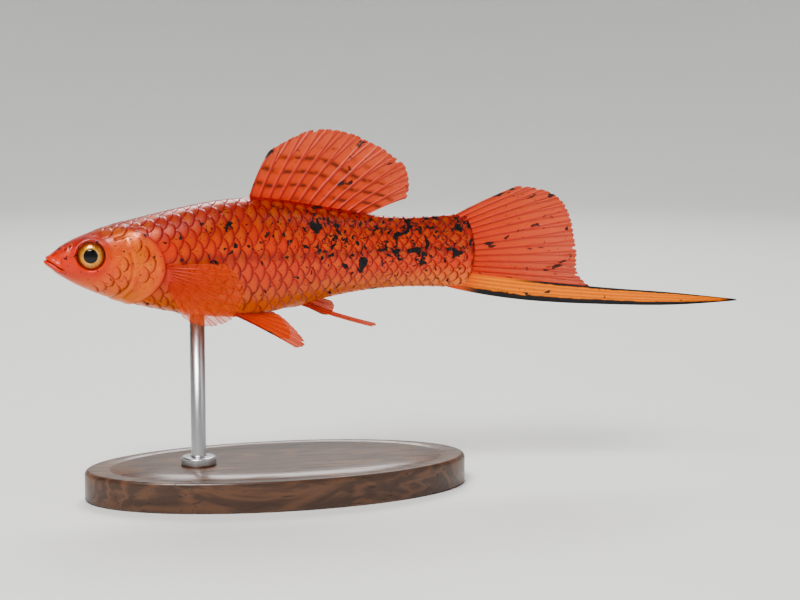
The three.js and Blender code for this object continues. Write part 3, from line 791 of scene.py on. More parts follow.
def fin_paint(name, look, body, density, spots=0.0, flecks=0.3, bold=0.85):
    """A translucent membrane with darker, jointed rays, and dark spots between them near the base."""
    paint = Paint(name)
    ray, along, length, across = (paint.attribute(key) for key in ("ray", "along", "length", "across"))
    patchy = paint.noise(0.5, 3)
    paler = mix(Vector(look.membrane), Vector(body.sheen), 0.26)
    flat = paint.node("ShaderNodeCombineXYZ", None, length * 0.45, across).outputs[0]
    membrane = paint.mix(along * 0.7 + patchy * 0.5 - 0.1, solid(look.membrane), solid(paler))
    tone = paint.mix(ray * bold * (1 - 0.35 * along), membrane, solid(look.ray))
    spot = (1 - ray) * ((length / 2.4 + across.math("SINE") * 0.2).math("FRACT").bell(0.5, 0.17))
    spot = spot * spots * along.smooth(0.85, 0.6) * along.smooth(0.06, 0.16)
    spot = spot * paint.noise(0.8, 2).smooth(0.3, 0.55)
    dark = fleck_mask(paint, flecks * (0.5 + 0.5 * along), flat).math("MAXIMUM", spot)
    tone = paint.mix(dark * 0.95, tone, solid(body.fleck))
    joints = (length / 0.42).math("FRACT").bell(0.5, 0.16) * ray * along.smooth(0.12, 0.3)
    solidity = density * (1 - 0.22 * along) + ray * bold * (1 - density)
    solidity = solidity + dark * 0.3 + along.smooth(0.18, 0) * 0.3
    return paint.finish(
        Base_Color=tone, Roughness=0.40 + 0.15 * patchy, Alpha=solidity.math("MINIMUM", 1),
        Normal=paint.bump(patchy * 0.4 - joints, 0.03, 0.5), Coat_Weight=0.15, Coat_Roughness=0.2, IOR=1.38)


def sword_paint(look):
    paint = Paint("sword blade")
    ray, along, length, share = (paint.attribute(key) for key in ("ray", "along", "length", "share"))
    patchy = paint.noise(0.6, 3)
    tone = paint.mix(along.smooth(0.0, 0.22), solid(look.membrane), solid(look.sword))
    tone = paint.mix(ray * 0.3 + patchy * 0.2, tone, solid(mix(Vector(look.sword), Vector(look.ray), 0.5)))
    ragged = share + (patchy - 0.5) * 0.16
    lower = ragged.smooth(0.70, 0.78) * along.smooth(0.02, 0.16)
    upper = ragged.smooth(0.15, 0.08) * along.smooth(0.26, 0.42)
    tip = (along + (patchy - 0.5) * 0.05).smooth(0.955, 0.985)
    dark = fleck_mask(paint, 0.4 - 0.2 * along)
    for edge in (lower, upper, tip):
        dark = dark.math("MAXIMUM", edge)
    tone = paint.mix(dark, tone, solid(look.edge))
    joints = (length / 0.5).math("FRACT").bell(0.5, 0.2) * ray
    return paint.finish(
        Base_Color=tone, Roughness=0.38 + 0.14 * patchy, Normal=paint.bump(patchy * 0.4 - joints, 0.02, 0.4),
        Coat_Weight=0.2, Coat_Roughness=0.16, IOR=1.42)


def eye_paint(look):
    paint = Paint("eyeball")
    ring, turn = paint.attribute("ring"), paint.attribute("turn")
    streaks = paint.noise(2.4, 3, 0.4)
    spokes = ((turn * 46 + streaks * 5).math("SINE") * 0.5 + 0.5) * (0.5 + streaks)
    tone = paint.mix(ring.smooth(look.pupil + 0.08, 0.97), solid(look.iris), solid(look.rim))
    tone = paint.mix(spokes * 0.3 * ring.smooth(look.pupil, 0.7), tone, solid(look.rim))
    _, _, z = paint.parts(paint.here)
    above = ((z - (ORIGIN[2] + EYE["h"] * PERCENT) * MM) / MM).smooth(0.5, 1.9)
    tone = paint.mix(above * 0.55, tone, solid(look.rim))
    gold = ring.bell(look.pupil + 0.05, 0.045)
    tone = paint.mix(gold * 0.7, tone, PUPIL_EDGE)
    inside = ring.smooth(look.pupil + 0.012, look.pupil - 0.012)
    tone = paint.mix(inside, tone, PUPIL_TONE)
    limbus = ring.smooth(0.93, 0.99)
    tone = paint.mix(limbus * 0.9, tone, EYE_EDGE)
    return paint.finish(
        Base_Color=tone, Metallic=(1 - inside) * 0.55 * (1 - limbus), Roughness=0.3 - 0.2 * inside,
        Normal=paint.bump(spokes * (1 - inside), 0.02, 0.5), Coat_Weight=1 - 0.6 * inside,
        Coat_Roughness=0.02, IOR=1.33)


# Operators.
class Builder:
    """What the operators share: each builds its pieces from the scene's settings."""

    bl_options = {"REGISTER", "UNDO"}

    def execute(self, context):
        self.build(context.scene.swordtail)
        return {"FINISHED"}


class SWORDTAIL_OT_skin(Builder, bpy.types.Operator):
    """One skin over head, gill covers, trunk and tail root"""

    bl_idname = "swordtail.skin"
    bl_label = "Skin"
    ROWS, COLUMNS, SNOUT_STEP = 408, 240, 0.02

    def build(self, settings):
        rows = np.arange(1, self.ROWS + 1) / self.ROWS
        turns = 2 * np.arange(self.COLUMNS) / self.COLUMNS
        s, turn = (grid.ravel() for grid in np.meshgrid(TAIL_BASE * rows**2, turns, indexing="ij"))
        points, groove_shade, _ = dressed(s, turn)
        count, last = self.COLUMNS, len(points) - self.COLUMNS
        faces = bands(self.ROWS, count)
        row, column = np.divmod(np.arange(last), count)
        u, v = rows[row], column / count
        next_u, next_v = u + 1 / self.ROWS, v + 1 / count
        uv = np.stack([u, v, u, next_v, next_u, next_v, next_u, v], axis=1)
        snout = carried(place(np.zeros(1), STATIONS[0, 1]) - (self.SNOUT_STEP, 0, 0))
        snout[0] = mix(snout[0], points[:count].mean(axis=0), 0.5)
        end = points[last:].mean(axis=0, keepdims=True)
        points = np.concatenate([points, snout, end])
        groove_shade = np.concatenate([groove_shade, groove_shade[:count].mean(keepdims=True), [0]])
        caps = []
        for k in range(count):
            after = (k + 1) % count
            faces += [[len(points) - 2, after, k], [len(points) - 1, last + k, last + after]]
            caps += [0, (k + 0.5) / count, rows[0], (k + 1) / count, rows[0], k / count,
                     1, (k + 0.5) / count, 1, k / count, 1, (k + 1) / count]
        # The skin carries the painted shade of its grooves as an attribute.
        skin = make_mesh("skin", points, faces, skin_paint(settings.body), {"groove_shade": groove_shade},
                         np.concatenate([uv.ravel(), caps]))
        settle(skin, "skin", "head", "torso", "tail_root", "gill_cover_left", "gill_cover_right")


# The scale coat: columns run along the body, and rows round it.
SHAPE_ALONG = np.array([0, 0.36, 0.66, 0.88, 1.0])
SHAPE_ACROSS = np.sin(np.linspace(-np.pi / 2, np.pi / 2, 9))
SCALE_FRONT, SCALE_LONG, SCALE_ROUND, SCALE_WIDE, SCALE_THICK = -0.72, 1.5, 0.62, 0.97, 0.055
COLUMN_START, COLUMN_STEP, COLUMN_CLOSING = 25.6, 3.15, 0.0135
BAKE_PATCH = 0.003


def column_place(column):
    """Where a column of scales lies: the columns draw closer towards the tail."""
    return COLUMN_START + COLUMN_STEP * column - COLUMN_CLOSING * column**2


def scale_shape(rise, material):
    """One scale, in columns, rows and millimetres of height: a shield with a round rear edge."""
    along, across = np.meshgrid(SHAPE_ALONG, SHAPE_ACROSS, indexing="ij")
    round_end = SCALE_ROUND * np.sqrt(np.maximum(1 - across**2, 0))
    x = SCALE_FRONT + along * (SCALE_LONG - SCALE_ROUND + round_end)
    y = SCALE_WIDE * across * (0.86 + 0.14 * smooth(along, 0, 0.5))
    z = rise * (0.22 + 0.62 * x) + 0.03 * (1 - across**2) * along - 0.02 * smooth(along, 0.93, 1)
    upper = np.stack([x, y, z], -1).reshape(-1, 3)
    rows, columns = len(SHAPE_ALONG) - 1, len(SHAPE_ACROSS) - 1
    grid, rim = grid_rim(rows, columns)
    lower = dict(zip(rim.tolist(), range(len(upper), len(upper) + len(rim))))
    under = upper[rim] - (0, 0, SCALE_THICK)
    faces = sheet_faces(rows, columns).tolist()
    faces += [[b, a, lower[a], lower[b]] for a, b in zip(rim.tolist(), np.roll(rim, -1).tolist())]
    for row in range(rows):
        near = grid[row].tolist() if row == 0 else [grid[row, 0], grid[row, -1]]
        far = grid[row + 1].tolist() if row == rows - 1 else [grid[row + 1, 0], grid[row + 1, -1]]
        faces.append([lower[int(i)] for i in near + far[::-1]])
    tile = np.stack([along, across, np.zeros_like(along)], -1).reshape(-1, 3)
    points = np.concatenate([upper, under]) / MM
    faces = [face[::-1] for face in faces]
    return make_mesh("scale shape", points, faces, material, {"tile": np.concatenate([tile, tile[rim]])})


# Where scales grow. Distances from the edges of gill cover and cheek, and from the middle of the
# eye, are in millimetres. Heights over the gill cover's upper line are in percents.
COLUMN_RANGE, CROWN_FRONT, TAIL_LIMIT = (-6, 30), 10, 101.9
GILL_STEPS = {"behind": 0.1, "inside": -1.25}
CHEEK_STEPS = {"outside": 0.8, "inside": -1.0, "front": 9.0, "low": -7.0}
OVER_COVER = {"front": 1.7, "turn": 18, "rear": -0.8, "gill": -2.3, "cheek": -2.0}
EYE_CLEAR = 3.1
# Spans of s, and one of h, that the scales leave to the roots of the fins.
DORSAL_ROOT, PELVIC_ROOT, ANAL_ROOT = (47.5, 76), (43.2, 46.6), (57, 64)
PECTORAL_ROOT = {"s": (25.0, 28.8), "h": (-4.9, -0.1)}


def within(value, span):
    return span[0] < value < span[1]


def at_fin_root(s, h, row, rows):
    """Whether a fin grows where a scale would."""
    dorsal_root = row == 0 and within(s, DORSAL_ROOT)
    pectoral_root = within(s, PECTORAL_ROOT["s"]) and within(h, PECTORAL_ROOT["h"])
    pelvic_root = abs(row - rows) == 1 and within(s, PELVIC_ROOT)
    anal_root = row == rows and within(s, ANAL_ROOT)
    return dorsal_root or pectoral_root or pelvic_root or anal_root


def scale_bed(s, turn):
    """A scale's size and the height of its ground, by the part of the body, or nothing on bare skin."""
    at, round_it = np.array([s]), np.array([turn])
    p = bare(at, round_it)
    h, side = p[0, 2] / PERCENT, LEFT if p[0, 1] < 0 else RIGHT
    behind = from_ellipse(GILL, at, np.array([h]))[0][0]
    cheek = from_ellipse(CHEEK, at, np.array([h]))[0][0]
    clear = np.linalg.norm(p[0] - on_skin(EYE["s"], EYE["h"], side)) > EYE_CLEAR
    (s0, h0), (s1, h1) = COVER_TOP
    over = h - mix(h0, h1, (s - s0) / (s1 - s0))
    if behind > GILL_STEPS["behind"]:
        return 1.0, -COAT_DEPTH
    crown_line = OVER_COVER["front" if s < OVER_COVER["turn"] else "rear"]
    if over > crown_line and s > CROWN_FRONT and clear:
        return 0.94, -0.01
    if behind < GILL_STEPS["inside"] and cheek > CHEEK_STEPS["outside"] and over < OVER_COVER["gill"]:
        return 0.9, dressed(at, round_it)[2][0] - 0.02
    on_cheek = cheek < CHEEK_STEPS["inside"] and s > CHEEK_STEPS["front"] and h > CHEEK_STEPS["low"]
    if on_cheek and clear and over < OVER_COVER["cheek"]:
        return 0.86, -0.02
    return None


def scale_sites(rows):
    """Where scales grow, in columns and rows, with each one's size and the height of its ground."""
    sites, beds = [], []
    for row in range(2 * rows):
        for step in range(*COLUMN_RANGE):
            column = step + 0.5 * (row % 2)
            s, turn = float(column_place(column)), row / rows
            h = bare(np.array([s]), np.array([turn]))[0, 2] / PERCENT
            bed = scale_bed(s, turn)
            if bed and s <= TAIL_LIMIT and not at_fin_root(s, h, row, rows):
                sites.append((column, row, 0))
                beds.append(bed)
    return np.array(sites), *np.array(beds).T


def scale_tree():
    """Geometry nodes that set one scale on each site, a little turned and sized at random."""
    group = bpy.data.node_groups.new("Scale Coat", "GeometryNodeTree")
    group.interface.new_socket("Geometry", in_out="INPUT", socket_type="NodeSocketGeometry")
    group.interface.new_socket("Geometry", in_out="OUTPUT", socket_type="NodeSocketGeometry")
    for name, kind in (("Scale Shape", "Object"), ("Turn", "Float"), ("Size Variation", "Float"),
                       ("Seed", "Int"), ("Material", "Material")):
        group.interface.new_socket(name, in_out="INPUT", socket_type="NodeSocket" + kind)
    tree = Tree(group)
    given = tree.node("NodeGroupInput").outputs
    shape = tree.node("GeometryNodeObjectInfo", None, given["Scale Shape"])
    most, span, seed = (Term(tree, given[name]) for name in ("Turn", "Size Variation", "Seed"))
    turn = tree.random(most * -1, most, seed)
    own_size = tree.value("GeometryNodeInputNamedAttribute", {"data_type": "FLOAT"}, "size")
    size = tree.random(1 - span, 1 + span, seed + 1) * own_size
    rotation = tree.value("ShaderNodeCombineXYZ", None, None, None, turn)
    scaling = tree.value("ShaderNodeCombineXYZ", None, size, size, 1.0)
    placed = tree.node("GeometryNodeInstanceOnPoints", None, given["Geometry"],
                       Instance=shape.outputs["Geometry"], Rotation=rotation, Scale=scaling)
    tinted = tree.node("GeometryNodeStoreNamedAttribute", {"data_type": "FLOAT", "domain": "INSTANCE"},
                       placed.outputs[0], None, "tint")
    tree.feed_open(tinted, "Value", tree.random(0.0, 1.0, seed + 2))
    real = tree.node("GeometryNodeRealizeInstances", None, tinted.outputs[0])
    painted = tree.node("GeometryNodeSetMaterial", None, real.outputs[0], Material=given["Material"])
    tree.node("NodeGroupOutput", None, painted.outputs[0])
    return group


def set_inputs(modifier, **values):
    """Sets a geometry modifier's inputs by their sockets' identifiers."""
    for item in modifier.node_group.interface.items_tree:
        key = item.name.replace(" ", "_")
        if item.in_out == "INPUT" and key in values:
            modifier[item.identifier] = values[key]


def read(mesh, name, width):
    data = np.zeros(len(mesh.vertices) * width, np.float32)
    mesh.attributes[name].data.foreach_get("value" if width == 1 else "vector", data)
    return data.reshape(-1, width) if width > 1 else data


class SWORDTAIL_OT_scales(Builder, bpy.types.Operator):
    """Overlapping scales in rows, wrapped on the body"""

    bl_idname = "swordtail.scales"
    bl_label = "Scales"
    TURN = math.radians(2.5)

    def build(self, settings):
        look = settings.body
        sites, sizes, grounds = scale_sites(look.rows)
        material = scale_paint(look)
        shape = scale_shape(look.rise, material)
        coat = make_mesh("scales", sites / MM, [], None, {"size": sizes, "ground": grounds, "root": sites})
        modifier = coat.modifiers.new("Scale Coat", "NODES")
        modifier.node_group = scale_tree()
        set_inputs(modifier, Scale_Shape=shape, Turn=self.TURN, Size_Variation=look.vary, Seed=look.seed,
                   Material=material)
        plain_copy(coat)
        bpy.data.objects.remove(shape)
        self.wrap(coat.data, look.rows)
        settle(coat, "skin")

    def wrap(self, mesh, rows):
        """Bends the flat field of scales round the body, and gives each its patch of the unwrap."""
        flat = read(mesh, "position", 3).astype(float)
        ground, root = read(mesh, "ground", 1), read(mesh, "root", 3).astype(float)
        s, turn = np.minimum(column_place(flat[:, 0]), TAIL_BASE), flat[:, 1] / rows
        p = bare(s, turn)
        h = p[:, 2] / PERCENT
        p = p + outward(s, turn) * (flat[:, 2] + ground)[:, None]
        back, inwards = tail_end(s, h, p[:, 1])
        p[:, 0] += back
        p[:, 1] += inwards
        mesh.vertices.foreach_set("co", (carried(p) * MM).ravel())
        along, round_it = np.sqrt(column_place(root[:, 0]) / TAIL_BASE), np.mod(root[:, 1] / rows / 2, 1)
        where = np.stack([along, round_it], axis=1)
        local = (flat - root)[:, :2] * (BAKE_PATCH / 2)
        corners = np.zeros(len(mesh.loops), int)
        mesh.loops.foreach_get("vertex_index", corners)
        unwrap(mesh, (where + local)[corners])
        for name in ("ground", "root", "size"):
            mesh.attributes.remove(mesh.attributes[name])
        mesh.shade_smooth()
        mesh.update()


# Fins, from the same surfaces as the solids: u runs from root to margin, v from first ray to last.
def ray_point(s, h, angle, bend, length, u):
    turn = np.radians(angle + bend * u / 2)
    return s + length * u * np.cos(turn), h + length * u * np.sin(turn)


def ripples(u, v, height, waves):
    """Waves across the rays that grow towards the margin."""
    return height * u * u * np.sin(waves * v)


DORSAL = {"from": 48, "to": 76, "sunk": 1.6, "bend": -16, "curl": 0.45}
dorsal_length = evenly(12.5, 19.2, 21.8, 22.2, 21.2, 18.6, 13.5)
dorsal_angle = evenly(74, 63, 52, 41, 29)


def dorsal(u, v):
    s = mix(DORSAL["from"], DORSAL["to"], v)
    length = dorsal_length(v) + DORSAL["sunk"]
    x, h = ray_point(s, top(s) - DORSAL["sunk"], dorsal_angle(v), DORSAL["bend"], length, u)
    return place(x, h, DORSAL["curl"] * u * np.sin(5 * v + 0.5) + ripples(u, v, 0.12, 17))


SWORD = {"root": (99.5, -6.9), "turn": (122, -12.2), "tip": (SWORD_TIP, -13.4)}
sword_half = evenly(2.1, 2.35, 2.5, 2.35, 2.0, 1.5, 0.16)
# How fast s runs on past the sword's ends, so that the blade has a direction there too.
PAST_END = 40


def sword_line(t):
    root, turn, tip = (np.array(SWORD[key]) for key in ("root", "turn", "tip"))
    t = np.asarray(t)[..., None]
    point = root * (1 - t) ** 2 + turn * 2 * t * (1 - t) + tip * t * t
    return point, unit((turn - root) * (1 - t) + (tip - turn) * t)


def sword(u, v):
    t = np.clip(u, 0, 1)
    point, direction = sword_line(t)
    across = sword_half(t) * (1 - 2 * v)
    s = point[..., 0] - direction[..., 1] * across + (u - t) * PAST_END
    return place(s, point[..., 1] + direction[..., 0] * across)


sword_steps = sword(np.linspace(0, 1, 200), 0.0)[:, [0, 2]] / PERCENT


def over_sword(s):
    """Height of the sword's upper edge."""
    return np.interp(s, sword_steps[:, 0], sword_steps[:, 1])


FAN = {"s": 99.5, "top": 8.3, "bottom": -5.6, "curl": 12, "level": 0.6, "ripple": 0.35, "overlap": 0.2}
fan_length = evenly(21.5, 27.0, 30.2, 31.4, 31.6, 32.6, 36)
fan_angle = evenly(27, 18, 8, -3, -12)


def fan_ray(u, v):
    bend = FAN["curl"] * (v - FAN["level"])
    return ray_point(FAN["s"], mix(FAN["top"], FAN["bottom"], v), fan_angle(v), bend, fan_length(v), u)


def fan(u, v):
    """The tail's fan, whose last ray lies along the sword."""
    s, h = fan_ray(u, v)
    last_s, last_h = fan_ray(u, 1.0)
    h = h + (over_sword(last_s) - FAN["overlap"] - last_h) * v**5
    return place(s, h, ripples(u, v, FAN["ripple"], 7) + ripples(u, v, 0.1, 23))


PECTORAL = {"s": 25.6, "lean": 0.8, "top": -0.6, "bottom": -4.4, "sunk": 0.7, "bend": -8, "spread": 31,
            "cup": 0.022}
pectoral_length = evenly(18, 22, 22.5, 20, 15.5, 10.5)
pectoral_angle = evenly(6, -8, -22, -38, -56)


def pectoral(side):
    def surface(u, v):
        root_s, root_h = PECTORAL["s"] + PECTORAL["lean"] * v, mix(PECTORAL["top"], PECTORAL["bottom"], v)
        s, h = ray_point(root_s, root_h, pectoral_angle(v), PECTORAL["bend"], pectoral_length(v), u)
        back, turn = (s - root_s) * PERCENT, math.radians(PECTORAL["spread"])
        out = back * math.sin(turn) - PECTORAL["cup"] * back * back + ripples(u, v, 0.1, 11)
        p = place(root_s, h, side * (skin_half(root_s, root_h) - PECTORAL["sunk"] + out))
        p[..., 0] += back * math.cos(turn)
        return p

    return surface


PELVIC = {"from": 43, "to": 46, "sunk": 1.5, "outer": 2.3, "inner": 0.95, "bend": -6, "spread": 0.19,
          "close": 0.45}
pelvic_length = evenly(17.5, 18.5, 16, 12.5, 9)
pelvic_angle = evenly(-27, -23, -18, -12, -4)


def pelvic(side):
    def surface(u, v):
        s = mix(PELVIC["from"], PELVIC["to"], v)
        x, h = ray_point(s, bottom(s) + PELVIC["sunk"], pelvic_angle(v), PELVIC["bend"], pelvic_length(v), u)
        away = PELVIC["spread"] * u * pelvic_length(v) * PERCENT * (1 - PELVIC["close"] * v)
        return place(x, h, side * (mix(PELVIC["outer"], PELVIC["inner"], v) + away))

    return surface


ROD = {"from": 57.5, "to": 59.4, "sunk": 2, "length": 23, "angle": -23, "bend": 8, "narrow": 0.42}
SHORT_RAYS = {"from": 59.2, "to": 64, "sunk": 1.6, "first": -30, "last": -20, "bend": 4}
short_length = evenly(10.5, 8.6, 6.4)


def rod(u, v):
    s = mix(ROD["from"], ROD["to"], v)
    narrowing = mix(1, ROD["narrow"], u) - 1
    x, h = ray_point(s, bottom(s) + ROD["sunk"], ROD["angle"], ROD["bend"], ROD["length"], u)
    off = s - mix(ROD["from"], ROD["to"], 0.5)
    return place(x + off * narrowing, h - off * narrowing * 0.5)


def short_rays(u, v):
    s = mix(SHORT_RAYS["from"], SHORT_RAYS["to"], v)
    angle = mix(SHORT_RAYS["first"], SHORT_RAYS["last"], v)
    root_h = bottom(s) + SHORT_RAYS["sunk"]
    return place(*ray_point(s, root_h, angle, SHORT_RAYS["bend"], short_length(v), u))


def ray_mask(across, u, fork, twig, broad):
    """1 on a ray and 0 between rays: each ray forks once, and again further out."""
    off = np.abs(across - np.round(across))
    if fork < 1:
        off = np.abs(off - 0.25 * smooth(u, fork, 1.15))
    if twig < 1:
        off = np.abs(off - 0.12 * smooth(u, twig, 1.2))
    return bell(off, 0, broad * mix(1, 0.42, smooth(u, 0, 1) if fork < 1 else 0))


class FinBuilder(Builder):
    """A fin as a closed two-sided sheet with raised rays.

    thick and web are the thickness on and between rays, each at the root and at the margin, in
    millimetres. fork and twig are where rays part, as shares of their length, or past 1 for never.
    broad is a ray's width against the gap to the next, notch how far the margin draws in between
    rays, start where along the rays the sheet begins, and corners how much the margin is rounded
    off at the first and the last ray.
    """

    UNEVEN, TEAR, ROOT_THIN, RIM_THIN, STEP = 0.007, 0.04, 0.35, 0.55, 0.01

    def fin(self, name, surface, rays, per_ray, rows, material, thick=(0.75, 0.34), web=(0.42, 0.13),
            fork=0.4, twig=0.7, notch=0.012, broad=0.17, start=0.0, corners=(0.0, 0.0), seed=1):
        columns = (rays - 1) * per_ray
        row, column = np.meshgrid(np.arange(rows + 1), np.arange(columns + 1), indexing="ij")
        v, flat_u = column / columns, row / rows
        across = v * (rays - 1)
        ray = ray_mask(across, flat_u, fork, twig, broad)
        random = np.random.default_rng(seed)
        lengths = np.interp(across, np.arange(rays), random.normal(0, self.UNEVEN, rays))
        tears = np.interp(across, np.arange(rays - 1) + 0.5, random.random(rays - 1) ** 5)
        tears = tears * bell(np.mod(across, 1), 0.5, 0.2)
        gaps = 1 - ray_mask(across, 1.0, fork, twig, broad)
        margin = 1 + lengths - (notch + self.TEAR * tears) * gaps
        blunt = mix(corners[0], corners[1], v) * (2 * v - 1) ** 4
        u = mix(start, margin - blunt, flat_u)
        p, step = surface(u, v), self.STEP
        normal = unit(np.cross(surface(u + step, v) - surface(u - step, v),
                               surface(u, v + step) - surface(u, v - step)))
        thickness = mix(mix(web[0], web[1], flat_u), mix(thick[0], thick[1], flat_u), ray)
        thickness = thickness * mix(self.ROOT_THIN, 1, smooth(flat_u, 0, 0.17))
        on_rim = (row == rows) | (column == 0) | (column == columns)
        thickness = thickness * np.where(on_rim, self.RIM_THIN, 1)
        half_step = normal * thickness[..., None] / 2
        points = np.concatenate([(p + half_step).reshape(-1, 3), (p - half_step).reshape(-1, 3)])
        length = np.linalg.norm(p - p[:1], axis=-1)
        attributes = {"ray": ray, "along": flat_u, "length": length, "across": across, "share": v}
        doubled = {key: np.tile(values.ravel(), 2) for key, values in attributes.items()}
        return make_mesh(name, carried(points), closed_sheet(rows, columns), material, doubled)

    def grow(self, name, slot, nodes, *shape, **details):
        """Makes a fin and puts it in the place of its solids."""
        settle(self.fin(name, *shape, **details), slot, *nodes)


class SWORDTAIL_OT_fins(FinBuilder, bpy.types.Operator):
    """Dorsal fin, tail fan, and paired pectoral and pelvic fins"""

    bl_idname = "swordtail.fins"
    bl_label = "Fins"

    def build(self, settings):
        look, body = settings.fins, settings.body
        red = fin_paint("dorsal fin", look, body, look.density, spots=0.85, flecks=0.45)
        self.grow("dorsal", "fin", ["dorsal_fin"], dorsal, 13, 24, 90, red, corners=(0.04, 0.13), seed=3)
        tail = fin_paint("tail fan", look, body, look.density, flecks=0.55)
        self.grow("fan", "fin", ["tail_fin"], fan, 14, 22, 104, tail, corners=(0.13, 0), seed=5)
        clear = fin_paint("pectoral fin", look, body, look.density * 0.42, flecks=0.05, bold=0.6)
        soft = fin_paint("pelvic fin", look, body, look.density * 0.95, flecks=0.08)
        for name, side in SIDES:
            self.grow(f"{name}_pectoral", "fin", [f"pectoral_fin_{name}"], pectoral(side), 12, 16, 72, clear,
                      (0.40, 0.17), (0.22, 0.08), fork=0.55, twig=2, broad=0.15, corners=(0.06, 0.1),
                      seed=11 + side)
            self.grow(f"{name}_pelvic", "fin", [f"pelvic_fin_{name}"], pelvic(side), 6, 22, 64, soft,
                      (0.55, 0.26), (0.3, 0.12), start=-0.14, seed=21 + side)


class SWORDTAIL_OT_sword(FinBuilder, bpy.types.Operator):
    """The sword, and the rod-shaped anal fin"""

    bl_idname = "swordtail.sword"
    bl_label = "Sword and Gonopodium"

    def build(self, settings):
        look, body = settings.fins, settings.body
        plain_rays = {"fork": 2, "twig": 2, "notch": 0, "broad": 0.26}
        self.grow("sword", "sword", ["tail_sword"], sword, 6, 12, 240, sword_paint(look), (0.95, 0.5),
                  (0.62, 0.32), **plain_rays)
        red = fin_paint("gonopodium", look, body, 0.95, flecks=0.2)
        self.grow("anal_rod", "fin", ["gonopodium"], rod, 3, 12, 120, red, (0.8, 0.42), (0.5, 0.26),
                  corners=(0.035, 0.035), **plain_rays)
        self.grow("anal_rays", "fin", [], short_rays, 4, 16, 44, red, (0.6, 0.3), (0.36, 0.14), twig=2,
                  corners=(0.2, 0.2))


class SWORDTAIL_OT_eyes(Builder, bpy.types.Operator):
    """Both eyes, each with a bulging lens and a golden iris"""

    bl_idname = "swordtail.eyes"
    bl_label = "Eyes"
    RINGS, BACK_RINGS, SEGMENTS = 40, 8, 96
    FILLED, LENS_RISE, IRIS_DIP, BACK = 0.985, 0.09, 0.1, 0.5

    def build(self, settings):
        material = eye_paint(settings.eyes)
        front_ring, back_ring = np.linspace(0, 1, self.RINGS + 1), np.linspace(0.96, 0, self.BACK_RINGS)
        ring, count = np.concatenate([front_ring, back_ring]), self.SEGMENTS
        axial = np.concatenate([self.front(front_ring, settings.eyes.pupil),
                                -self.BACK * np.sqrt(1 - back_ring**2)])
        turns, rows = around(count), len(ring) - 2
        shares = np.minimum(np.arange(len(ring)), self.RINGS) / self.RINGS
        attributes = {
            "ring": np.concatenate([[0], np.repeat(shares[1:-1], count), [1]]),
            "turn": np.concatenate([[0], np.tile(np.sin(turns / 2), rows), [0]])}
        for name, side in SIDES:
            middle, axis = eye_middle[side], eye_normal[side]
            across = unit(np.cross((0, 0, 1), axis))
            circle = np.cos(turns)[:, None] * across + np.sin(turns)[:, None] * np.cross(axis, across)
            radius = ring[1:-1, None, None] * (EYE["radius"] * self.FILLED)
            rings = middle + radius * circle + axial[1:-1, None, None] * axis
            ends = middle + axial[[0, -1], None] * axis
            points = np.concatenate([ends[:1], rings.reshape(-1, 3), ends[1:]])
            faces = turned_over(capped_bands(rows, count))
            eye = make_mesh(f"{name}_eye", carried(points), faces, material, attributes)
            settle(eye, "eye", f"eye_{name}")

    def front(self, ring, pupil):
        """Height of the eye's clear front over its middle, with the lens standing out of the iris."""
        dome = EYE["thick"] * np.sqrt(1 - (ring * self.FILLED) ** 2)
        lens = self.LENS_RISE * smooth(ring, pupil + 0.06, pupil - 0.1)
        iris = self.IRIS_DIP * smooth(ring, pupil - 0.02, pupil + 0.1)
        return dome + (lens - iris) * smooth(ring, 1, 0.8)


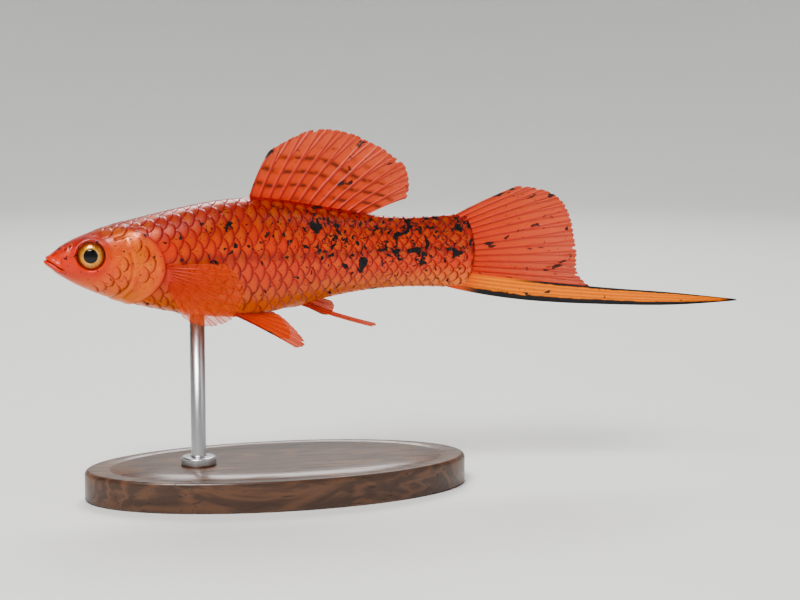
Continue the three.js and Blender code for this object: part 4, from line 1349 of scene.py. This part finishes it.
class SWORDTAIL_OT_stand(Builder, bpy.types.Operator):
    """Oval walnut base and steel rod"""

    bl_idname = "swordtail.stand"
    bl_label = "Stand"
    BASE_X, LENGTH, WIDTH, HEIGHT, BEVEL = -19.0, 58.0, 30.0, 4.5, 0.7
    GROOVE_IN, GROOVE_WIDE, GROOVE_SLOPE, GROOVE_DEEP = 3.2, 0.85, 0.25, 0.16
    ROD_S, ROD_RADIUS, ROD_FILLET, ROD_GAP, INTO_BELLY = 35.5, 1.1, 0.3, 0.3, 0.5
    FOOT_RADIUS, FOOT_HEIGHT, FOOT_BEVEL = 2.6, 1.0, 0.35
    UNDERSIDE_IN, UNDERSIDE_BEVEL, SUNK = 1.2, 0.35, 0.02

    def build(self, settings):
        look = settings.stand
        settle(self.base(self.wood(look)), "stand_base", "stand_base")
        settle(self.rod(self.steel(look)), "stand_rod", "stand_rod")

    def base(self, material):
        reach, top_height = self.LENGTH / 2, self.HEIGHT
        outer, inner = reach - self.GROOVE_IN, reach - self.GROOVE_IN - self.GROOVE_WIDE
        low = top_height - self.GROOVE_DEEP
        contour = [(0, 0), (reach - self.UNDERSIDE_IN, 0), (reach - self.UNDERSIDE_BEVEL, 0),
                   (reach, self.UNDERSIDE_BEVEL)]
        contour += [(reach - self.BEVEL * (1 - c), top_height - self.BEVEL * (1 - s)) for c, s in quarter(8)]
        contour += [(outer, top_height), (outer - self.GROOVE_SLOPE, low), (inner + self.GROOVE_SLOPE, low)]
        contour += [(inner, top_height), (reach * 0.5, top_height), (0, top_height)]
        return lathe("walnut_base", contour, 160, material, (1, self.WIDTH / self.LENGTH), (self.BASE_X, 0))

    def rod(self, material):
        """The rod and its round foot, which starts just inside the base."""
        start, upper = self.HEIGHT - self.SUNK, self.HEIGHT + self.ROD_GAP + self.FOOT_HEIGHT
        end = AXIS_HEIGHT + float(bottom(np.array(self.ROD_S))) * PERCENT + self.INTO_BELLY
        contour = [(0, start), (self.FOOT_RADIUS, start), (self.FOOT_RADIUS, upper - self.FOOT_HEIGHT)]
        contour += [(self.FOOT_RADIUS - self.FOOT_BEVEL * (1 - c), upper - self.FOOT_BEVEL * (1 - s))
                    for c, s in quarter(4)]
        contour += [(self.ROD_RADIUS + self.ROD_FILLET * (1 - s), upper + self.ROD_FILLET * (1 - c))
                    for c, s in quarter(4)]
        contour += [(self.ROD_RADIUS, end), (0, end)]
        middle = carried(place(self.ROD_S, 0.0)[None])[0]
        return lathe("steel_rod", contour, 64, material, (1, 1), middle[:2])

    def wood(self, look):
        paint = Paint("walnut")
        fibres = paint.noise(1.4, 4, 0.3, (0.09, 1.0, 1.0))
        growth = paint.noise(0.16, 3, 1.6, (0.22, 1.0, 1.0))
        rings = ((growth * 26).math("SINE") * 0.5 + 0.5) ** 1.5
        tone = paint.mix(rings * 0.65 + fibres * 0.35, solid(look.grain), solid(look.wood))
        pores = paint.noise(3.2, 1, 0, (0.05, 1.0, 1.0)).smooth(0.62, 0.72)
        tone = paint.mix(pores * 0.7, tone, solid(look.grain))
        return paint.finish(
            Base_Color=tone, Roughness=0.38 + 0.2 * pores + 0.08 * fibres,
            Normal=paint.bump(fibres * 0.5 - pores, 0.05, 0.6), Coat_Weight=0.35, Coat_Roughness=0.18)

    def steel(self, look):
        paint = Paint("brushed steel")
        lines = paint.noise(9, 3, 0, (1.0, 1.0, 0.04))
        tone = paint.mix(lines * 0.5, solid(look.steel), solid(0.6 * Vector(look.steel)))
        return paint.finish(Base_Color=tone, Metallic=1.0, Roughness=0.22 + 0.22 * lines,
                            Normal=paint.bump(lines, 0.01, 0.4))


def middle_of(box):
    return (box[0] + box[1]) / 2


class SWORDTAIL_OT_stage(Builder, bpy.types.Operator):
    """Pale floor that curves up all round, soft lights and the camera"""

    bl_idname = "swordtail.stage"
    bl_label = "Stage"
    FLOOR_RADIUS, CURVE, WALL, SEGMENTS = 560, 240, 420, 96
    # Name, azimuth and elevation in degrees, distance and size in metres, power in watts.
    LIGHTS = (
        ("key", -38, 50, 0.6, 0.26, 4.3),
        ("fill", 55, 38, 0.65, 0.4, 0.45),
        ("rim", 165, 48, 0.6, 0.3, 2.6))
    SKY, SKY_STRENGTH, TARGET_RISE = (0.93, 0.95, 1.0, 1), 0.10, 0.001

    def build(self, settings):
        look = settings.stage
        self.floor(look)
        for light in self.LIGHTS:
            self.light(*light)
        world = bpy.data.worlds.new("studio")
        world.use_nodes = True
        background = world.node_tree.nodes["Background"].inputs
        background["Color"].default_value, background["Strength"].default_value = self.SKY, self.SKY_STRENGTH
        bpy.context.scene.world = world
        bpy.context.scene.view_settings.look = "AgX - Medium High Contrast"
        self.camera(look)

    def floor(self, look):
        contour = [(self.FLOOR_RADIUS + self.CURVE * s, self.CURVE * (1 - c)) for c, s in quarter(16)]
        contour = [(self.FLOOR_RADIUS / 2, 0), *contour, (self.FLOOR_RADIUS + self.CURVE, self.WALL)]
        points = [(r * math.cos(t), r * math.sin(t), z) for r, z in contour for t in around(self.SEGMENTS)]
        faces = [range(self.SEGMENTS), *turned_over(bands(len(contour), self.SEGMENTS))]
        paint = Paint("floor")
        speckle = paint.noise(0.08, 4)
        tone = paint.mix(speckle * 0.25, solid(look.floor), solid(0.9 * Vector(look.floor)))
        material = paint.finish(Base_Color=tone, Roughness=0.72, Normal=paint.bump(speckle, 0.1, 0.2))
        make_mesh("floor", points, faces, material)

    def aim(self, made, azimuth, elevation, distance, target):
        back = Vector((math.sin(azimuth) * math.cos(elevation), -math.cos(azimuth) * math.cos(elevation),
                       math.sin(elevation)))
        made.location = target + back * distance
        made.rotation_euler = back.to_track_quat("Z", "Y").to_euler()
        bpy.context.scene.collection.objects.link(made)

    def light(self, name, azimuth, elevation, distance, size, power):
        data = bpy.data.lights.new(name, "AREA")
        data.size, data.energy = size, power
        light = bpy.data.objects.new(name, data)
        self.aim(light, math.radians(azimuth), math.radians(elevation), distance, middle_of(SOLID_BOX))

    def camera(self, look):
        data = bpy.data.cameras.new("camera")
        data.lens, data.clip_start = look.lens, 0.01
        camera = bpy.data.objects.new("camera", data)
        target = middle_of(SOLID_BOX) + Vector((0, 0, self.TARGET_RISE))
        self.aim(camera, look.azimuth, look.elevation, look.framed * look.lens / data.sensor_width, target)
        bpy.context.scene.camera = camera


class SWORDTAIL_PT_panel(bpy.types.Panel):
    """Lists the building steps and their settings"""

    bl_idname = "SWORDTAIL_PT_panel"
    bl_label = "Swordtail"
    bl_space_type = "VIEW_3D"
    bl_region_type = "UI"
    bl_category = "Swordtail"

    def draw(self, context):
        settings = context.scene.swordtail
        for operator in OPERATORS:
            self.layout.operator(operator.bl_idname)
        for name in ("body", "fins", "eyes", "stand", "stage"):
            group = getattr(settings, name)
            box = self.layout.box()
            for key in group.__annotations__:
                box.prop(group, key)


OPERATORS = (SWORDTAIL_OT_skin, SWORDTAIL_OT_scales, SWORDTAIL_OT_fins, SWORDTAIL_OT_sword,
             SWORDTAIL_OT_eyes, SWORDTAIL_OT_stand, SWORDTAIL_OT_stage)
GROUPS = (SwordtailBody, SwordtailFins, SwordtailEyes, SwordtailStand, SwordtailStage,
          SwordtailSettings)


def register():
    for item in (*GROUPS, *OPERATORS, SWORDTAIL_PT_panel):
        bpy.utils.register_class(item)
    bpy.types.Scene.swordtail = group_of(SwordtailSettings, "Swordtail", "Settings of the swordtail model")


def unregister():
    del bpy.types.Scene.swordtail
    for item in reversed((*GROUPS, *OPERATORS, SWORDTAIL_PT_panel)):
        bpy.utils.unregister_class(item)


def main():
    register()
    for operator in OPERATORS:
        group, name = operator.bl_idname.split(".")
        getattr(getattr(bpy.ops, group), name)()


if __name__ == "__main__":
    main()
